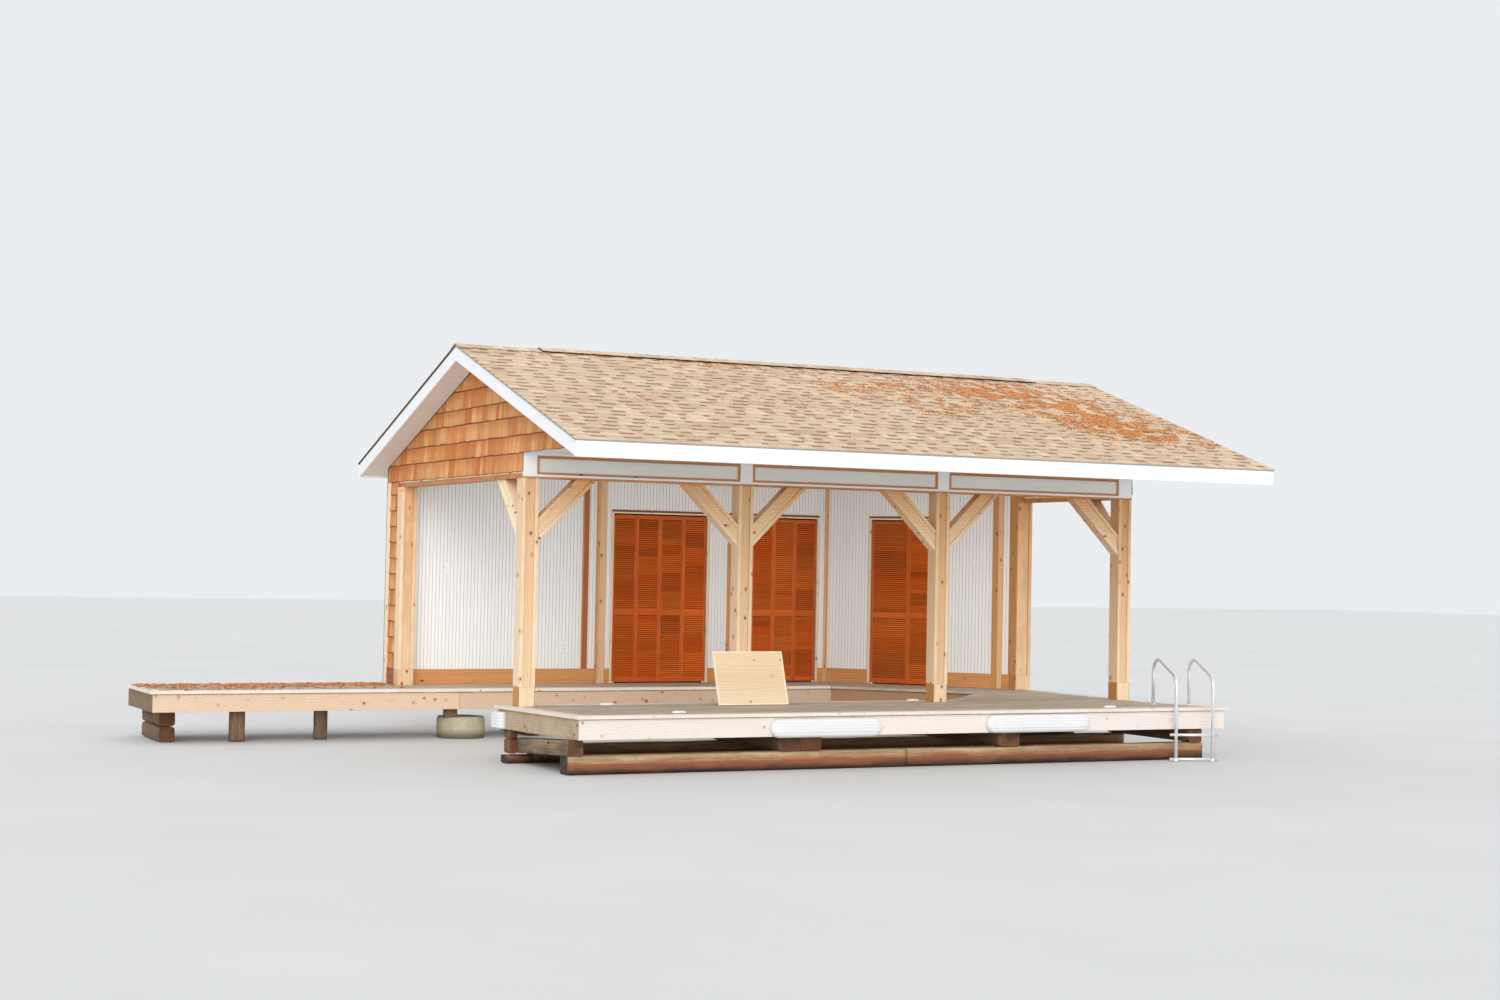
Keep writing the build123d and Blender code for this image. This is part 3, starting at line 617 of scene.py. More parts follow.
white_trim = painted("white_trim", rgb(250, 251, 253), rgb(240, 242, 246), 0.38, 0.45, 0.05)
bead_white = painted("bead_board", rgb(249, 249, 248), rgb(243, 244, 244), 0.45, 0.4, 0.03, (0.6, 2.0, 2.0))
panel_grey = painted("beam_panel", rgb(240, 240, 236), rgb(230, 231, 228), 0.5, 0.35, 0.06)
soffit_grey = painted("soffit_panel", rgb(240, 237, 232), rgb(230, 227, 221), 0.5, 0.35, 0.06)
grey_metal = painted("drip_edge", rgb(172, 170, 166), rgb(150, 148, 146), 0.4, 0.5, 0.2)
dark_vent = painted("ridge_vent_core", rgb(62, 56, 50), rgb(44, 40, 36), 0.7, 0.3, 0.2)
# near-black: a dark drip edge, and painted shade in gaps and openings
black_edge_and_shade = painted("black_edge_and_shade_paint", rgb(40, 34, 30), rgb(28, 24, 22), 0.7, 0.3, 0.1)
plastic = painted("white_plastic", rgb(250, 250, 250), rgb(242, 242, 243), 0.3, 0.5, 0.04, (3.0, 3.0, 3.0), 0.05)
vinyl = painted("white_vinyl", rgb(236, 236, 237), rgb(226, 226, 228), 0.42, 0.45, 0.10, (2.0, 7.0, 7.0), 0.08)
brass = painted("dull_steel", rgb(196, 190, 178), rgb(160, 154, 144), 0.4, 0.5, 0.1)


def metal(name):
    M = Mat(name, rough=0.3, spec=0.5, metal=0.65)
    g = M.attr("g")
    n = M.noise(M.scale(g, (2.0, 90.0, 90.0)), 1.0, 3.0, 0.6)
    d = M.noise(M.scale(g, (5.0, 5.0, 5.0)), 1.0, 3.0, 0.6)
    M.color(M.mix(M.span(n, 0.0, 1.0), rgb(248, 249, 251), rgb(230, 232, 236)))
    M.rough(M.span(d, 0.24, 0.42))
    M.bump(n, 0.08, 0.0005)
    return M.m


aluminium = metal("brushed_aluminium")


def concrete_material():
    M = Mat("pier_concrete", spec=0.25)
    o = M.obj()
    s = M.sep(o)
    n = M.noise(o, 4.0, 6.0, 0.65)
    f = M.noise(o, 42.0, 4.0, 0.6)
    pit = M.voronoi(o, 36.0)
    col = M.mix(M.span(n, 0.0, 1.0), rgb(212, 202, 178), rgb(158, 148, 124))
    col = M.mix(M.math("MULTIPLY", M.math("SUBTRACT", 1.0, M.smooth(pit, 0.05, 0.16)), 0.55), col, rgb(96, 88, 72))
    wet = M.math("SUBTRACT", 1.0, M.smooth(M.math("ADD", s[2], M.math("MULTIPLY", M.math("SUBTRACT", n, 0.5), 0.12)), 0.02, 0.12))
    col = M.mix(M.math("MULTIPLY", wet, 0.75), col, rgb(70, 66, 52))
    M.color(M.times(col, M.span(f, 0.9, 1.08)))
    M.rough(M.span(n, 0.7, 0.92))
    M.bump(M.math("ADD", f, M.math("MULTIPLY", pit, 0.8)), 0.7, 0.004)
    return M.m


concrete = concrete_material()


def leaf_material():
    M = Mat("fallen_needles", spec=0.2)
    g = M.attr("g")
    r, br, wm = M.tint()
    col = M.ramp(r, [(0.0, rgb(170, 98, 50)), (0.25, rgb(208, 136, 78)), (0.6, rgb(226, 164, 108)), (0.85, rgb(200, 124, 70)), (1.0, rgb(142, 94, 56))])
    n = M.noise(M.scale(g, (60.0, 60.0, 60.0)), 1.0, 2.0, 0.5)
    M.color(M.times(M.times(col, M.span(n, 0.85, 1.12)), br))
    M.rough(0.8)
    M.bump(n, 0.3, 0.001)
    return M.m


needles = leaf_material()


def plain_solid(name, c, c2, stretch=(3.0, 3.0, 3.0), rough=0.7):
    """for faces that are covered by other pieces or seen only through narrow gaps"""
    M = Mat(name, spec=0.3)
    o = M.obj()
    n = M.noise(M.scale(o, stretch), 1.0, 4.0, 0.6)
    f = M.noise(M.scale(o, (30.0, 30.0, 30.0)), 1.0, 3.0, 0.6)
    M.color(M.mix(M.span(n, 0.0, 1.0), c, c2))
    M.rough(rough)
    M.bump(f, 0.2, 0.001)
    return M.m


hidden_lumber = plain_solid("hidden_lumber", rgb(206, 178, 136), rgb(170, 138, 98), (1.0, 14.0, 14.0))
# covered walls, and the backing seen between the beaded boards, where its grey is painted shade in the grooves
covered_wall_groove_shade = plain_solid("covered_wall_groove_shade", rgb(186, 186, 184), rgb(168, 168, 166))

# ------------------------------------------------------------------ camera
cam_data = bpy.data.cameras.new("camera")
cam_data.sensor_width = 36.0
cam_data.lens = 2237.94 / 1500.0 * 36.0
cam_data.clip_end = 300.0
camera = bpy.data.objects.new("camera", cam_data)
bpy.context.scene.collection.objects.link(camera)
yaw, pitch, roll = math.radians(26.3994), math.radians(1.7274), math.radians(1.0616)
fwd = Vector((math.sin(yaw) * math.cos(pitch), math.cos(yaw) * math.cos(pitch), math.sin(pitch)))
rt = Vector((math.cos(yaw), -math.sin(yaw), 0.0))
up = rt.cross(fwd)
r2 = rt * math.cos(roll) + up * math.sin(roll)
u2 = up * math.cos(roll) - rt * math.sin(roll)
pos = Vector((-8.0755 + OX / 1000, -21.4832 + OY / 1000, 1.4617 + OZ / 1000))
camera.matrix_world = Matrix((
    (r2.x, u2.x, -fwd.x, pos.x),
    (r2.y, u2.y, -fwd.y, pos.y),
    (r2.z, u2.z, -fwd.z, pos.z),
    (0, 0, 0, 1)))
bpy.context.scene.camera = camera

# ------------------------------------------------------------------ decking


def deck_rows(S, y0, y1, xl, xr, w0=140.0, gap=6.0, joints=(), tint=None):
    n = max(1, round((y1 - y0 + gap) / (w0 + gap)))
    w = (y1 - y0 + gap) / n - gap
    for i in range(n):
        ya = y0 + i * (w + gap)
        yb = ya + w
        cuts = [c for c in joints if xl(ya) + 500 < c < xr(ya) - 500 and rng.random() < 0.42]
        ends = [None] + cuts + [None]
        for k in range(len(ends) - 1):
            a0, b0 = (xl(ya), xl(yb)) if ends[k] is None else (ends[k] + 1.5, ends[k] + 1.5)
            a1, b1 = (xr(ya), xr(yb)) if ends[k + 1] is None else (ends[k + 1] - 1.5, ends[k + 1] - 1.5)
            if a1 - a0 < 40 and b1 - b0 < 40:
                continue
            dz = rng.uniform(-1.2, 0.0)
            quad(S, P3((a0, ya), -DECK_T), P3((a1, ya), -DECK_T), P3((b0, yb), -DECK_T), P3((b1, yb), -DECK_T), (0, 0, DECK_T + dz), 3.5, tone(rng.uniform(0.0, 0.35), 0.86, 1.06))


def border(S, pts, d, mat=1, lens=3600.0, warm=0.3):
    """boards laid round an outline, mitred at its corners; pts are outer, d is the width"""
    n = len(pts)
    lines = [inset(pts[i], pts[i + 1], d) for i in range(n - 1)]
    inner = [lines[0][0]] + [meet(*lines[i - 1], *lines[i]) for i in range(1, n - 1)] + [lines[-1][1]]
    for i in range(n - 1):
        L = math.hypot(pts[i + 1][0] - pts[i][0], pts[i + 1][1] - pts[i][1])
        k = max(1, round(L / lens))
        for j in range(k):
            t0, t1 = j / k, (j + 1) / k
            if j > 0:
                t0 += 1.2 / L
            if j < k - 1:
                t1 -= 1.2 / L
            a, b = along(pts[i], pts[i + 1], t0), along(pts[i], pts[i + 1], t1)
            c, e = along(inner[i], inner[i + 1], t0), along(inner[i], inner[i + 1], t1)
            quad(S, P3(a, -DECK_T), P3(b, -DECK_T), P3(c, -DECK_T), P3(e, -DECK_T), (0, 0, DECK_T), 5.0, tone(rng.uniform(0.0, warm), 0.94, 1.03), mat)
    return inner


BW = 140.0   # border boards
joints = [120 + 608 * k for k in range(-6, 14)]


def line_x(p, q):
    return lambda y: p[0] + (y - p[1]) * (q[0] - p[0]) / (q[1] - p[1])


S = Shape()
inn = border(S, [SLIP_A, DOCK_BL, DOCK_FL, DOCK_FR, FLARE, (DECK_X1, SLIP_Y0)], BW, 1)
# inn: slip edge, back-left corner, front-left, front-right, flare, right end
xl = lambda y: line_x(inn[1], inn[2])(y) + 6
xr = lambda y: (line_x(inn[3], inn[4])(y) if y < inn[4][1] else inn[4][0]) - 6
deck_rows(S, inn[2][1] + 6, SLIP_Y0 - BW - 6, xl, xr, joints=joints)
S.make("dock_deck_boards", [deck_wood, nosing_wood], ["dock_decking"])

S = Shape()
inn2 = border(S, [(SLIP_B[0], SLIP_Y1), SLIP_B, SLIP_TIP, SLIP_A][1:], BW, 0)
slip_in = lambda y: (line_x(inn2[2], inn2[1])(y) if y < inn2[1][1] else line_x(inn2[1], inn2[0])(y)) + 6
border(S, [(DECK_X1, SLIP_Y0), (DECK_X1, SLIP_Y1)], BW, 1)
deck_rows(S, SLIP_Y0 - BW, SLIP_Y1, lambda y: max(slip_in(max(y, SLIP_Y0 + 30)), 5340 if y < SLIP_Y0 else 0), lambda y: DECK_X1 - BW - 6, joints=joints)
S.make("bow_deck_boards", [deck_wood, nosing_wood], ["right_decking"])

S = Shape()
inn3 = border(S, [(WALK_X0, DECK_BACK), (WALK_X0, SLIP_Y1), SLIP_B], BW, 1, 3300.0)
deck_rows(S, SLIP_Y1 + BW + 6, DECK_BACK, lambda y: WALK_X0 + BW + 6, lambda y: DECK_X1, joints=joints)
box(S, SLIP_B[0] + 4, DECK_X1, SLIP_Y1 + 4, SLIP_Y1 + BW, -DECK_T, 0, "x", 3.5, tone(0.2, 0.9, 1.0))
S.make("walk_deck_boards", [deck_wood, nosing_wood], ["walk_decking"])

# ------------------------------------------------------------------ edge boards
o_r, i_r = ring(NOSING), ring(NOSING + EDGE_T)


def edge(S, a, b, ia, ib, cuts=(), mat=0, warm=(0.0, 0.3), lo=0.95, hi=1.03, z0=FASCIA_Z, z1=-DECK_T - 6.0):
    ts = [0.0] + list(cuts) + [1.0]
    L = math.hypot(b[0] - a[0], b[1] - a[1])
    for k in range(len(ts) - 1):
        t0 = ts[k] + (1.0 / L if k else 0)
        t1 = ts[k + 1] - (1.0 / L if k < len(ts) - 2 else 0)
        m = mat[k] if isinstance(mat, (list, tuple)) else mat
        p, q = along(a, b, t0), along(a, b, t1)
        ip, iq = along(ia, ib, t0), along(ia, ib, t1)
        C = [P3((iq if c else q) if a_ else (ip if c else p), z1 if b_ else z0) for a_ in (0, 1) for b_ in (0, 1) for c in (0, 1)]
        hexa(S, C, 2.5, tone(rng.uniform(*warm), lo, hi), m)


S = Shape()
edge(S, o_r[0], o_r[1], i_r[0], i_r[1], (0.30, 0.62), 0, (0.0, 0.15))
edge(S, o_r[9], o_r[0], i_r[9], i_r[0], (), 1, (0.1, 0.3))
edge(S, o_r[1], o_r[2], i_r[1], i_r[2], (), 1, (0.1, 0.3))
edge(S, o_r[2], o_r[3], i_r[2], i_r[3], (0.3, 0.65), 1, (0.1, 0.4))
S.make("dock_fascia_boards", [pale_board, grey_board], ["dock_edge_boards"])

S = Shape()
tj = (-20.0 - o_r[4][0]) / (o_r[3][0] - o_r[4][0])
edge(S, o_r[4], (-20.0, o_r[4][1]), i_r[4], (-20.0, i_r[4][1]), (0.55,), 1)
edge(S, o_r[5], o_r[4], i_r[5], i_r[4], (), 1, (0.9, 1.0), 0.50, 0.54)
wj = (480.0 - o_r[5][0]) / (o_r[6][0] - o_r[5][0])
edge(S, o_r[5], along(o_r[5], o_r[6], wj - 0.0002), i_r[5], along(i_r[5], i_r[6], wj - 0.0002), (), 0, (0.05, 0.15))
edge(S, along(o_r[5], o_r[6], wj + 0.0002), o_r[6], along(i_r[5], i_r[6], wj + 0.0002), i_r[6], (0.5,), 0, (0.1, 0.3), 0.86, 0.92)
edge(S, o_r[6], o_r[7], i_r[6], i_r[7], (), 0, (0.8, 1.0), 0.62, 0.7)
edge(S, o_r[7], o_r[8], i_r[7], i_r[8], (), 0, (0.8, 1.0), 0.6, 0.7)
edge(S, o_r[9], o_r[8], i_r[9], i_r[8], (0.45,), 1, (0.1, 0.3))
S.make("walk_fascia_boards", [pine, grey_board], ["walk_edge_boards"])

# joists
S = Shape()
y_rim0 = DOCK_FL[1] + NOSING + EDGE_T + 1
y_rim1 = SLIP_Y0 - NOSING - EDGE_T - 1
for i in range(13):
    x = 140 + i * 608.0
    box(S, x, x + 38, y_rim0 + 38, y_rim1 - 38, FASCIA_Z, -DECK_T, "y", 2.5, tone(0.4, 0.8, 1.0))
box(S, 140, 7474, y_rim0, y_rim0 + 38, FASCIA_Z, -DECK_T, "x", 2.5, tone(0.4, 0.8, 1.0))
box(S, 140, 7474, y_rim1 - 38, y_rim1, FASCIA_Z, -DECK_T, "x", 2.5, tone(0.4, 0.8, 1.0))
S.make("dock_joists", [frame_wood], ["dock_frame"])


def slip_x(y, d):
    p, q = (SLIP_A, SLIP_TIP) if y < SLIP_TIP[1] else (SLIP_TIP, SLIP_B)
    return p[0] + (y - p[1]) * (q[0] - p[0]) / (q[1] - p[1]) + d * 1.42


S = Shape()
for i in range(18):
    x = WALK_X0 + NOSING + EDGE_T + 2 + i * 600.0
    if x < 7480:
        box(S, x, x + 38, SLIP_Y1 + NOSING + EDGE_T, DECK_BACK - NOSING - EDGE_T - 20, FASCIA_Z, -DECK_T, "y", 2.5, tone(0.4, 0.8, 1.0))
for y in (520, 1000, 1480, 1960, 2440, 2920):
    xs = max(slip_x(y, NOSING + EDGE_T), slip_x(y + 38, NOSING + EDGE_T))
    box(S, xs + 10, DECK_X1 - NOSING - EDGE_T, y, y + 38, FASCIA_Z, -DECK_T, "x", 2.5, tone(0.4, 0.8, 1.0))
S.make("shore_joists", [frame_wood], ["shore_frame"])

# ------------------------------------------------------------------ rough timbers


def rough_timber(S, a, b, w, h, seed, amp=5.0, checks=3, step=70.0, mat=0, tint=None, roundness=0.16, taper=0.0):
    """a squared timber from a to b (centres of its ends), with worn corners, waney faces and drying checks"""
    a, b = np.asarray(a, float), np.asarray(b, float)
    L = np.linalg.norm(b - a)
    e = (b - a) / L
    side = np.cross(e, (0, 0, 1.0))
    if np.linalg.norm(side) < 0.01:
        side = np.array([0, 1.0, 0])
    side /= np.linalg.norm(side)
    upv = np.cross(side, e)
    n = max(4, int(L / step))
    m = 28
    rr = random.Random(seed)
    chk = [(rr.uniform(0, 1), rr.uniform(0.1, 0.6), rr.uniform(0.2, 0.5)) for _ in range(checks)]
    V, G = [], []
    off = np.array([rr.uniform(0, 50), rr.uniform(0, 50), rr.uniform(0, 50)])
    for i in range(n + 1):
        t = i / n
        for k in range(m):
            ang = 2 * math.pi * (k + 0.5) / m
            c, s = math.cos(ang), math.sin(ang)
            q = 1.0 / (abs(c) ** (1 / roundness) + abs(s) ** (1 / roundness)) ** roundness
            px, pz = c * q * w / 2, s * q * h / 2
            d = noise.noise(Vector((t * L / 420.0 + seed * 3.1, c * 1.3, s * 1.3))) * amp + noise.noise(Vector((t * L / 110.0, c * 4 + seed, s * 4))) * amp * 0.45
            for (pa, ps, pl) in chk:
                da = abs(((k + 0.5) / m - pa + 0.5) % 1.0 - 0.5) * m
                if da < 0.8 and ps < t < ps + pl:
                    d -= 7.0 * math.sin(math.pi * (t - ps) / pl)
            d = min(d, 0.0) if roundness < 0.1 else d * 0.5 - amp * 0.5
            rad = math.hypot(px, pz)
            f = (rad + d) / rad
            end = 0.0
            if i in (0, n):
                f *= 0.985
                end = noise.noise(Vector((c * 2 + seed, s * 2, i))) * 3.0
            p = a + e * (t * L + end * (1 if i else -1) * 0.0) + side * px * f + upv * pz * f
            V.append(p)
            G.append((t * L / 1000 + off[0], k / m * 2 * (w + h) / 1000 + off[1], off[2]))
    F = []
    for i in range(n):
        for k in range(m):
            k2 = (k + 1) % m
            F.append((i * m + k, (i + 1) * m + k, (i + 1) * m + k2, i * m + k2))
    base = len(V)
    for t, i in ((0.0, 0), (1.0, n)):
        V.append(a + e * t * L)
        G.append((t * L / 1000 + off[0], off[1], off[2] + 0.05))
    for k in range(m):
        k2 = (k + 1) % m
        F.append((base, k, k2))
        F.append((base + 1, n * m + k2, n * m + k))
    # face direction: outward
    V = np.array(V)
    f0 = F[0]
    nrm = np.cross(V[f0[1]] - V[f0[0]], V[f0[2]] - V[f0[0]])
    if nrm @ (V[f0[0]] - (a + e * 0)) < 0:
        F = [f[::-1] for f in F]
    S.add(V, F, G, tint or tone(0.4, 0.85, 1.05), mat, True)
    S.M[-2 * m:] = [mat + 1] * (2 * m)
    S.S[-2 * m:] = [False] * (2 * m)


LOG_H, LOG_W, LOG_Y0 = 186.0, 200.0, -1300.0
LOG_TOP = BASE_Z + LOG_H
S = Shape()
zc = BASE_Z + LOG_H / 2
rough_timber(S, (30, LOG_Y0 + LOG_W / 2, zc), (3820, LOG_Y0 + LOG_W / 2, zc), LOG_W, LOG_H, 3, 7.0, 5, roundness=0.07)
rough_timber(S, (3824, LOG_Y0 + LOG_W / 2, zc), (7640, LOG_Y0 + LOG_W / 2, zc), LOG_W, LOG_H, 4, 7.0, 5, roundness=0.07)
rough_timber(S, (202, 160, zc), (7560, 160, zc), LOG_W, LOG_H, 5, 7.0, 4, roundness=0.07)
rough_timber(S, (-90, 150, BASE_Z + 42), (198, 150, BASE_Z + 42), 180, 85, 6, 4.0, 1)
S.make("crib_log_timbers", [crib_log, log_end], ["crib_logs"])

S = Shape()
ya, yb = LOG_Y0 - 12, 245.0
# left cross timber, sagging towards the slip
rough_timber(S, (103, ya, FASCIA_Z - 80), (103, yb, FASCIA_Z - 172), 166, 156, 7, 4.0, 4, tint=tone(0.15, 1.1, 1.18), roundness=0.05)
rough_timber(S, (-20, 62, FASCIA_Z - 48), (-20, 243, FASCIA_Z - 52), 78, 86, 8, 3.0, 1)
rough_timber(S, (-20, 66, FASCIA_Z - 172), (-20, 240, FASCIA_Z - 172), 78, 150, 9, 4.0, 2, tint=tone(0.8, 0.9, 1.0))
for j, (x0, x1) in enumerate(((2333, 2560), (2565, 2804), (4965, 5206), (7467, 7619))):
    rough_timber(S, ((x0 + x1) / 2, ya, (LOG_TOP + FASCIA_Z) / 2), ((x0 + x1) / 2, 260, (LOG_TOP + FASCIA_Z) / 2), x1 - x0, FASCIA_Z - LOG_TOP, 11 + j, 4.0, 3, tint=tone(0.5, 1.0, 1.15), roundness=0.06)
S.make("crib_ties", [crib_wood, tie_end], ["crib_cross_timbers"])

S = Shape()
k = 30
for x in (-2800, 1500, 2900, 4300):
    for z0, z1 in ((BASE_Z, BASE_Z + 172), (BASE_Z + 173, FASCIA_Z)):
        rough_timber(S, (x, SLIP_Y1 + 300, (z0 + z1) / 2), (x, 4400, (z0 + z1) / 2), 180, z1 - z0, k, 5.0, 2)
        k += 1
for x in (7130, 7420):
    for z0, z1 in ((BASE_Z, BASE_Z + 172), (BASE_Z + 173, FASCIA_Z)):
        rough_timber(S, (x, 1000, (z0 + z1) / 2), (x, 4400, (z0 + z1) / 2), 180, z1 - z0, k, 5.0, 2)
        k += 1
for z0, z1 in ((BASE_Z, BASE_Z + 172), (BASE_Z + 173, FASCIA_Z)):
    rough_timber(S, (6240, 2500, (z0 + z1) / 2), (6240, 4400, (z0 + z1) / 2), 180, z1 - z0, k, 5.0, 2)
    k += 1
rough_timber(S, (-2035.5, 3439.5, BASE_Z), (-2035.5, 3439.5, FASCIA_Z), 179, 179, 50, 5.0, 3, step=40.0, roundness=0.45)
rough_timber(S, (-1063, 3525, BASE_Z), (-1063, 3525, FASCIA_Z), 104, 150, 51, 4.0, 2, step=40.0)
rough_timber(S, (417, 3340, BASE_Z + 245), (417, 3340, FASCIA_Z), 85, 160, 52, 3.0, 1, step=30.0)
S.make("shore_logs_and_piles", [crib_wood, tie_end], ["shore_supports"])

# round pier
S = Shape()
V, F = [], []
nr, nz = 72, 14
zs = [BASE_Z + 245 * (i / nz) for i in range(nz + 1)]
for i, z in enumerate(zs):
    for k in range(nr):
        a = 2 * math.pi * k / nr
        t = i / nz
        rad = 276 + 4 * math.sin(t * math.pi) - (10 * max(0, t - 0.93) / 0.07) + noise.noise(Vector((math.cos(a) * 1.6, math.sin(a) * 1.6, z / 120.0))) * 5 + noise.noise(Vector((math.cos(a) * 7, math.sin(a) * 7, z / 30.0))) * 1.6
        if i in (4, 9):
            rad -= 3.0
        V.append((597 + rad * math.cos(a), 3480 + rad * math.sin(a), z))
for i in range(nz):
    for k in range(nr):
        k2 = (k + 1) % nr
        F.append((i * nr + k, i * nr + k2, (i + 1) * nr + k2, (i + 1) * nr + k))
V.append((597, 3480, BASE_Z))
V.append((597, 3480, BASE_Z + 245 - 1))
for k in range(nr):
    k2 = (k + 1) % nr
    F.append((len(V) - 2, k2, k))
    F.append((len(V) - 1, nz * nr + k, nz * nr + k2))
S.add(V, F, mat=0, smooth=True)
S.make("pier_cylinder", [concrete], ["round_pier"])

# ------------------------------------------------------------------ posts


def up_tone(r, lo, hi, z0=0.0, z1=2300.0, br=1.0):
    """warmer towards the beam"""
    return lambda p: (r, br, lo + (hi - lo) * min(1.0, max(0.0, (p[2] - z0) / (z1 - z0))), 1.0)


S = Shape()
for i, x in enumerate(POST_X):
    top = BEAM_Z
    w0 = rng.uniform(0.0, 0.12)
    # side boards and recessed front and back boards
    for xa, xb, wv in ((x, x + 38, 0.06), (x + 137, x + POST_W, 0.0)):
        box(S, xa, xb, 0, POST_W, 200, top, "z", 3.0, up_tone(rng.random(), w0 + wv, 0.38 + 0.1 * i, br=rng.uniform(0.99, 1.04)))
    box(S, x + 39.5, x + 135.5, 13, 62, 200, top, "z", 2.0, up_tone(rng.random(), w0 + 0.24, 0.68 + 0.08 * i, br=rng.uniform(0.93, 0.97)))
    box(S, x + 38.5, x + 136.5, POST_W - 62, POST_W - 13, 200, top, "z", 2.0, up_tone(rng.random(), w0 + 0.1, 0.6, br=rng.uniform(0.96, 1.0)))
    # foot: flush blocks front and back; the cheeks on the sides are drawn darker, painted shade on the side faces
    box(S, x, x + 6, 3, POST_W - 3, 0, 199, "z", 1.5, (rng.random(), 0.84, 1.0, 1.0))
    box(S, x + POST_W - 6, x + POST_W, 3, POST_W - 3, 0, 199, "z", 1.5, (rng.random(), 0.84, 1.0, 1.0))
    box(S, x + 6.5, x + POST_W - 6.5, 0, POST_W, 0, 199, "z", 2.5, (rng.random(), 1.0, w0 + 0.08, 1.0))
S.make("post_boards", [cedar], ["front_posts"])

S = Shape()
# left corner post against the long wall
x0, x1, y0, y1 = -28, 162, WALL_F - 165, WALL_F
box(S, x0, x0 + 40, y0, y1, 182, BEAM_Z, "z", 3.0, up_tone(0.3, 0.05, 0.35))
# recessed middle board, a little darker: painted shade in the recess
box(S, x0 + 40.5, x1 - 42, y0 + 12, y1, 182, BEAM_Z, "z", 2.0, up_tone(0.6, 0.35, 0.8, br=0.95))
box(S, x1 - 41.5, x1, y0, y1, 182, BEAM_Z, "z", 3.0, up_tone(0.2, 0.3, 0.6))
box(S, x0, x1, y0, y1, 0, 181, "z", 2.5, (0.4, 0.98, 0.45, 1.0))
# right corner post: the left cheek, also on the foot, and the recessed strip are drawn darker, painted shade on the
# side face and in the recess
x0, x1, y0, y1 = FRONT - 237, FRONT - 18, CORNER_Y, CORNER_Y + 180
box(S, x0, x0 + 9, y0 + 3, y1, 182, CEIL_Z - 1, "z", 2.0, up_tone(0.5, 0.85, 1.0, br=0.86))
box(S, x0 + 9.5, FRONT - 141, y0, y1, BEAM_Z + 0.5, CEIL_Z - 1, "z", 2.0, up_tone(0.5, 0.85, 1.0, br=0.8))
box(S, x0 + 9.5, x0 + 164, y0, y1, 182, BEAM_Z, "z", 3.0, up_tone(0.7, 0.42, 0.82))
box(S, x0 + 164.5, x0 + 174, y0 + 14, y1, 182, BEAM_Z, "z", 1.0, up_tone(0.5, 0.9, 1.0, br=0.72))
box(S, x0 + 174.5, x1, y0, y1, 182, BEAM_Z, "z", 3.0, up_tone(0.35, 0.45, 0.8))
box(S, x0, x0 + 7, y0 + 3, y1, 0, 181, "z", 1.5, (0.5, 0.84, 1.0, 1.0))
box(S, x0 + 7.5, x1, y0, y1, 0, 181, "z", 2.5, (0.4, 0.98, 0.4, 1.0))
S.make("corner_post_boards", [cedar], ["corner_posts"])

# ------------------------------------------------------------------ braces
B_LO, B_HI, B_T = 650.0, 415.0, 140.0


def brace(S, axis, a, sign, d0, d1, warm_lo, warm_hi, br=1.0):
    """knee brace of two edge strips and a recessed middle; axis x or y, a = post face, d0-d1 across"""
    # offsets of the strips, measured like B_LO/B_HI along the beam
    span = B_LO - B_HI
    lay = ((0.0, 54.0, 0.0), (54.8, span - 54.8, 10.0), (span - 54.0, span, 0.0))
    for k, (q0, q1, sink) in enumerate(lay):
        lo, hi = B_LO - q0, B_LO - q1       # outer (lower) strip first
        z_lo0, z_lo1 = BEAM_Z - lo, BEAM_Z - hi
        c0, c1 = d0 + sink, d1 - sink
        pts = ((a, z_lo0), (a + sign * lo, BEAM_Z), (a, z_lo1), (a + sign * hi, BEAM_Z))
        wm = (warm_lo * 0.4, warm_lo, warm_lo * 0.9)[k]
        r = rng.random()
        bb = br * rng.uniform(0.98, 1.03)
        tint = lambda p, r=r, bb=bb, wm=wm: (r, bb, wm + (warm_hi - wm) * min(1.0, max(0.0, (p[2] - (BEAM_Z - 600)) / 600.0)), 1.0)
        if axis == "x":
            P = [np.array([u, c0, z]) for u, z in pts]
            quad(S, P[0], P[1], P[2], P[3], (0, c1 - c0, 0), 2.5, tint)
        else:
            P = [np.array([c0, u, z]) for u, z in pts]
            quad(S, P[0], P[1], P[2], P[3], (c1 - c0, 0, 0), 2.5, tint)


by0 = (POST_W - B_T) / 2
S = Shape()
for i, x in enumerate(POST_X):
    if i < 3:
        brace(S, "x", x + POST_W, 1, by0, by0 + B_T, 0.25, 0.85)
    if i > 0:
        brace(S, "x", x, -1, by0, by0 + B_T, 0.3, 0.8)
S.make("front_knee_braces", [cedar], ["front_braces"])
S = Shape()
for x, br in ((POST_X[0] + by0, 1.04), (POST_X[3] + by0, 0.98)):
    brace(S, "y", POST_W, 1, x, x + B_T, 0.0 if x < 1000 else 0.3, 0.1 if x < 1000 else 0.7, br)
S.make("side_knee_braces", [cedar], ["side_braces"])

# ------------------------------------------------------------------ front beam
PANELS = ((150.0, 2472.0), (2618.0, 4936.0), (5083.0, 7397.0))
PZ0, PZ1 = 2376.0, 2569.0
S = Shape()
z0 = BEAM_Z + 18
# core and inner face
box(S, 0, FRONT, 20, POST_W, z0, CEIL_Z, "x", 2.0, tone(0.5, 0.98, 1.0), 0)
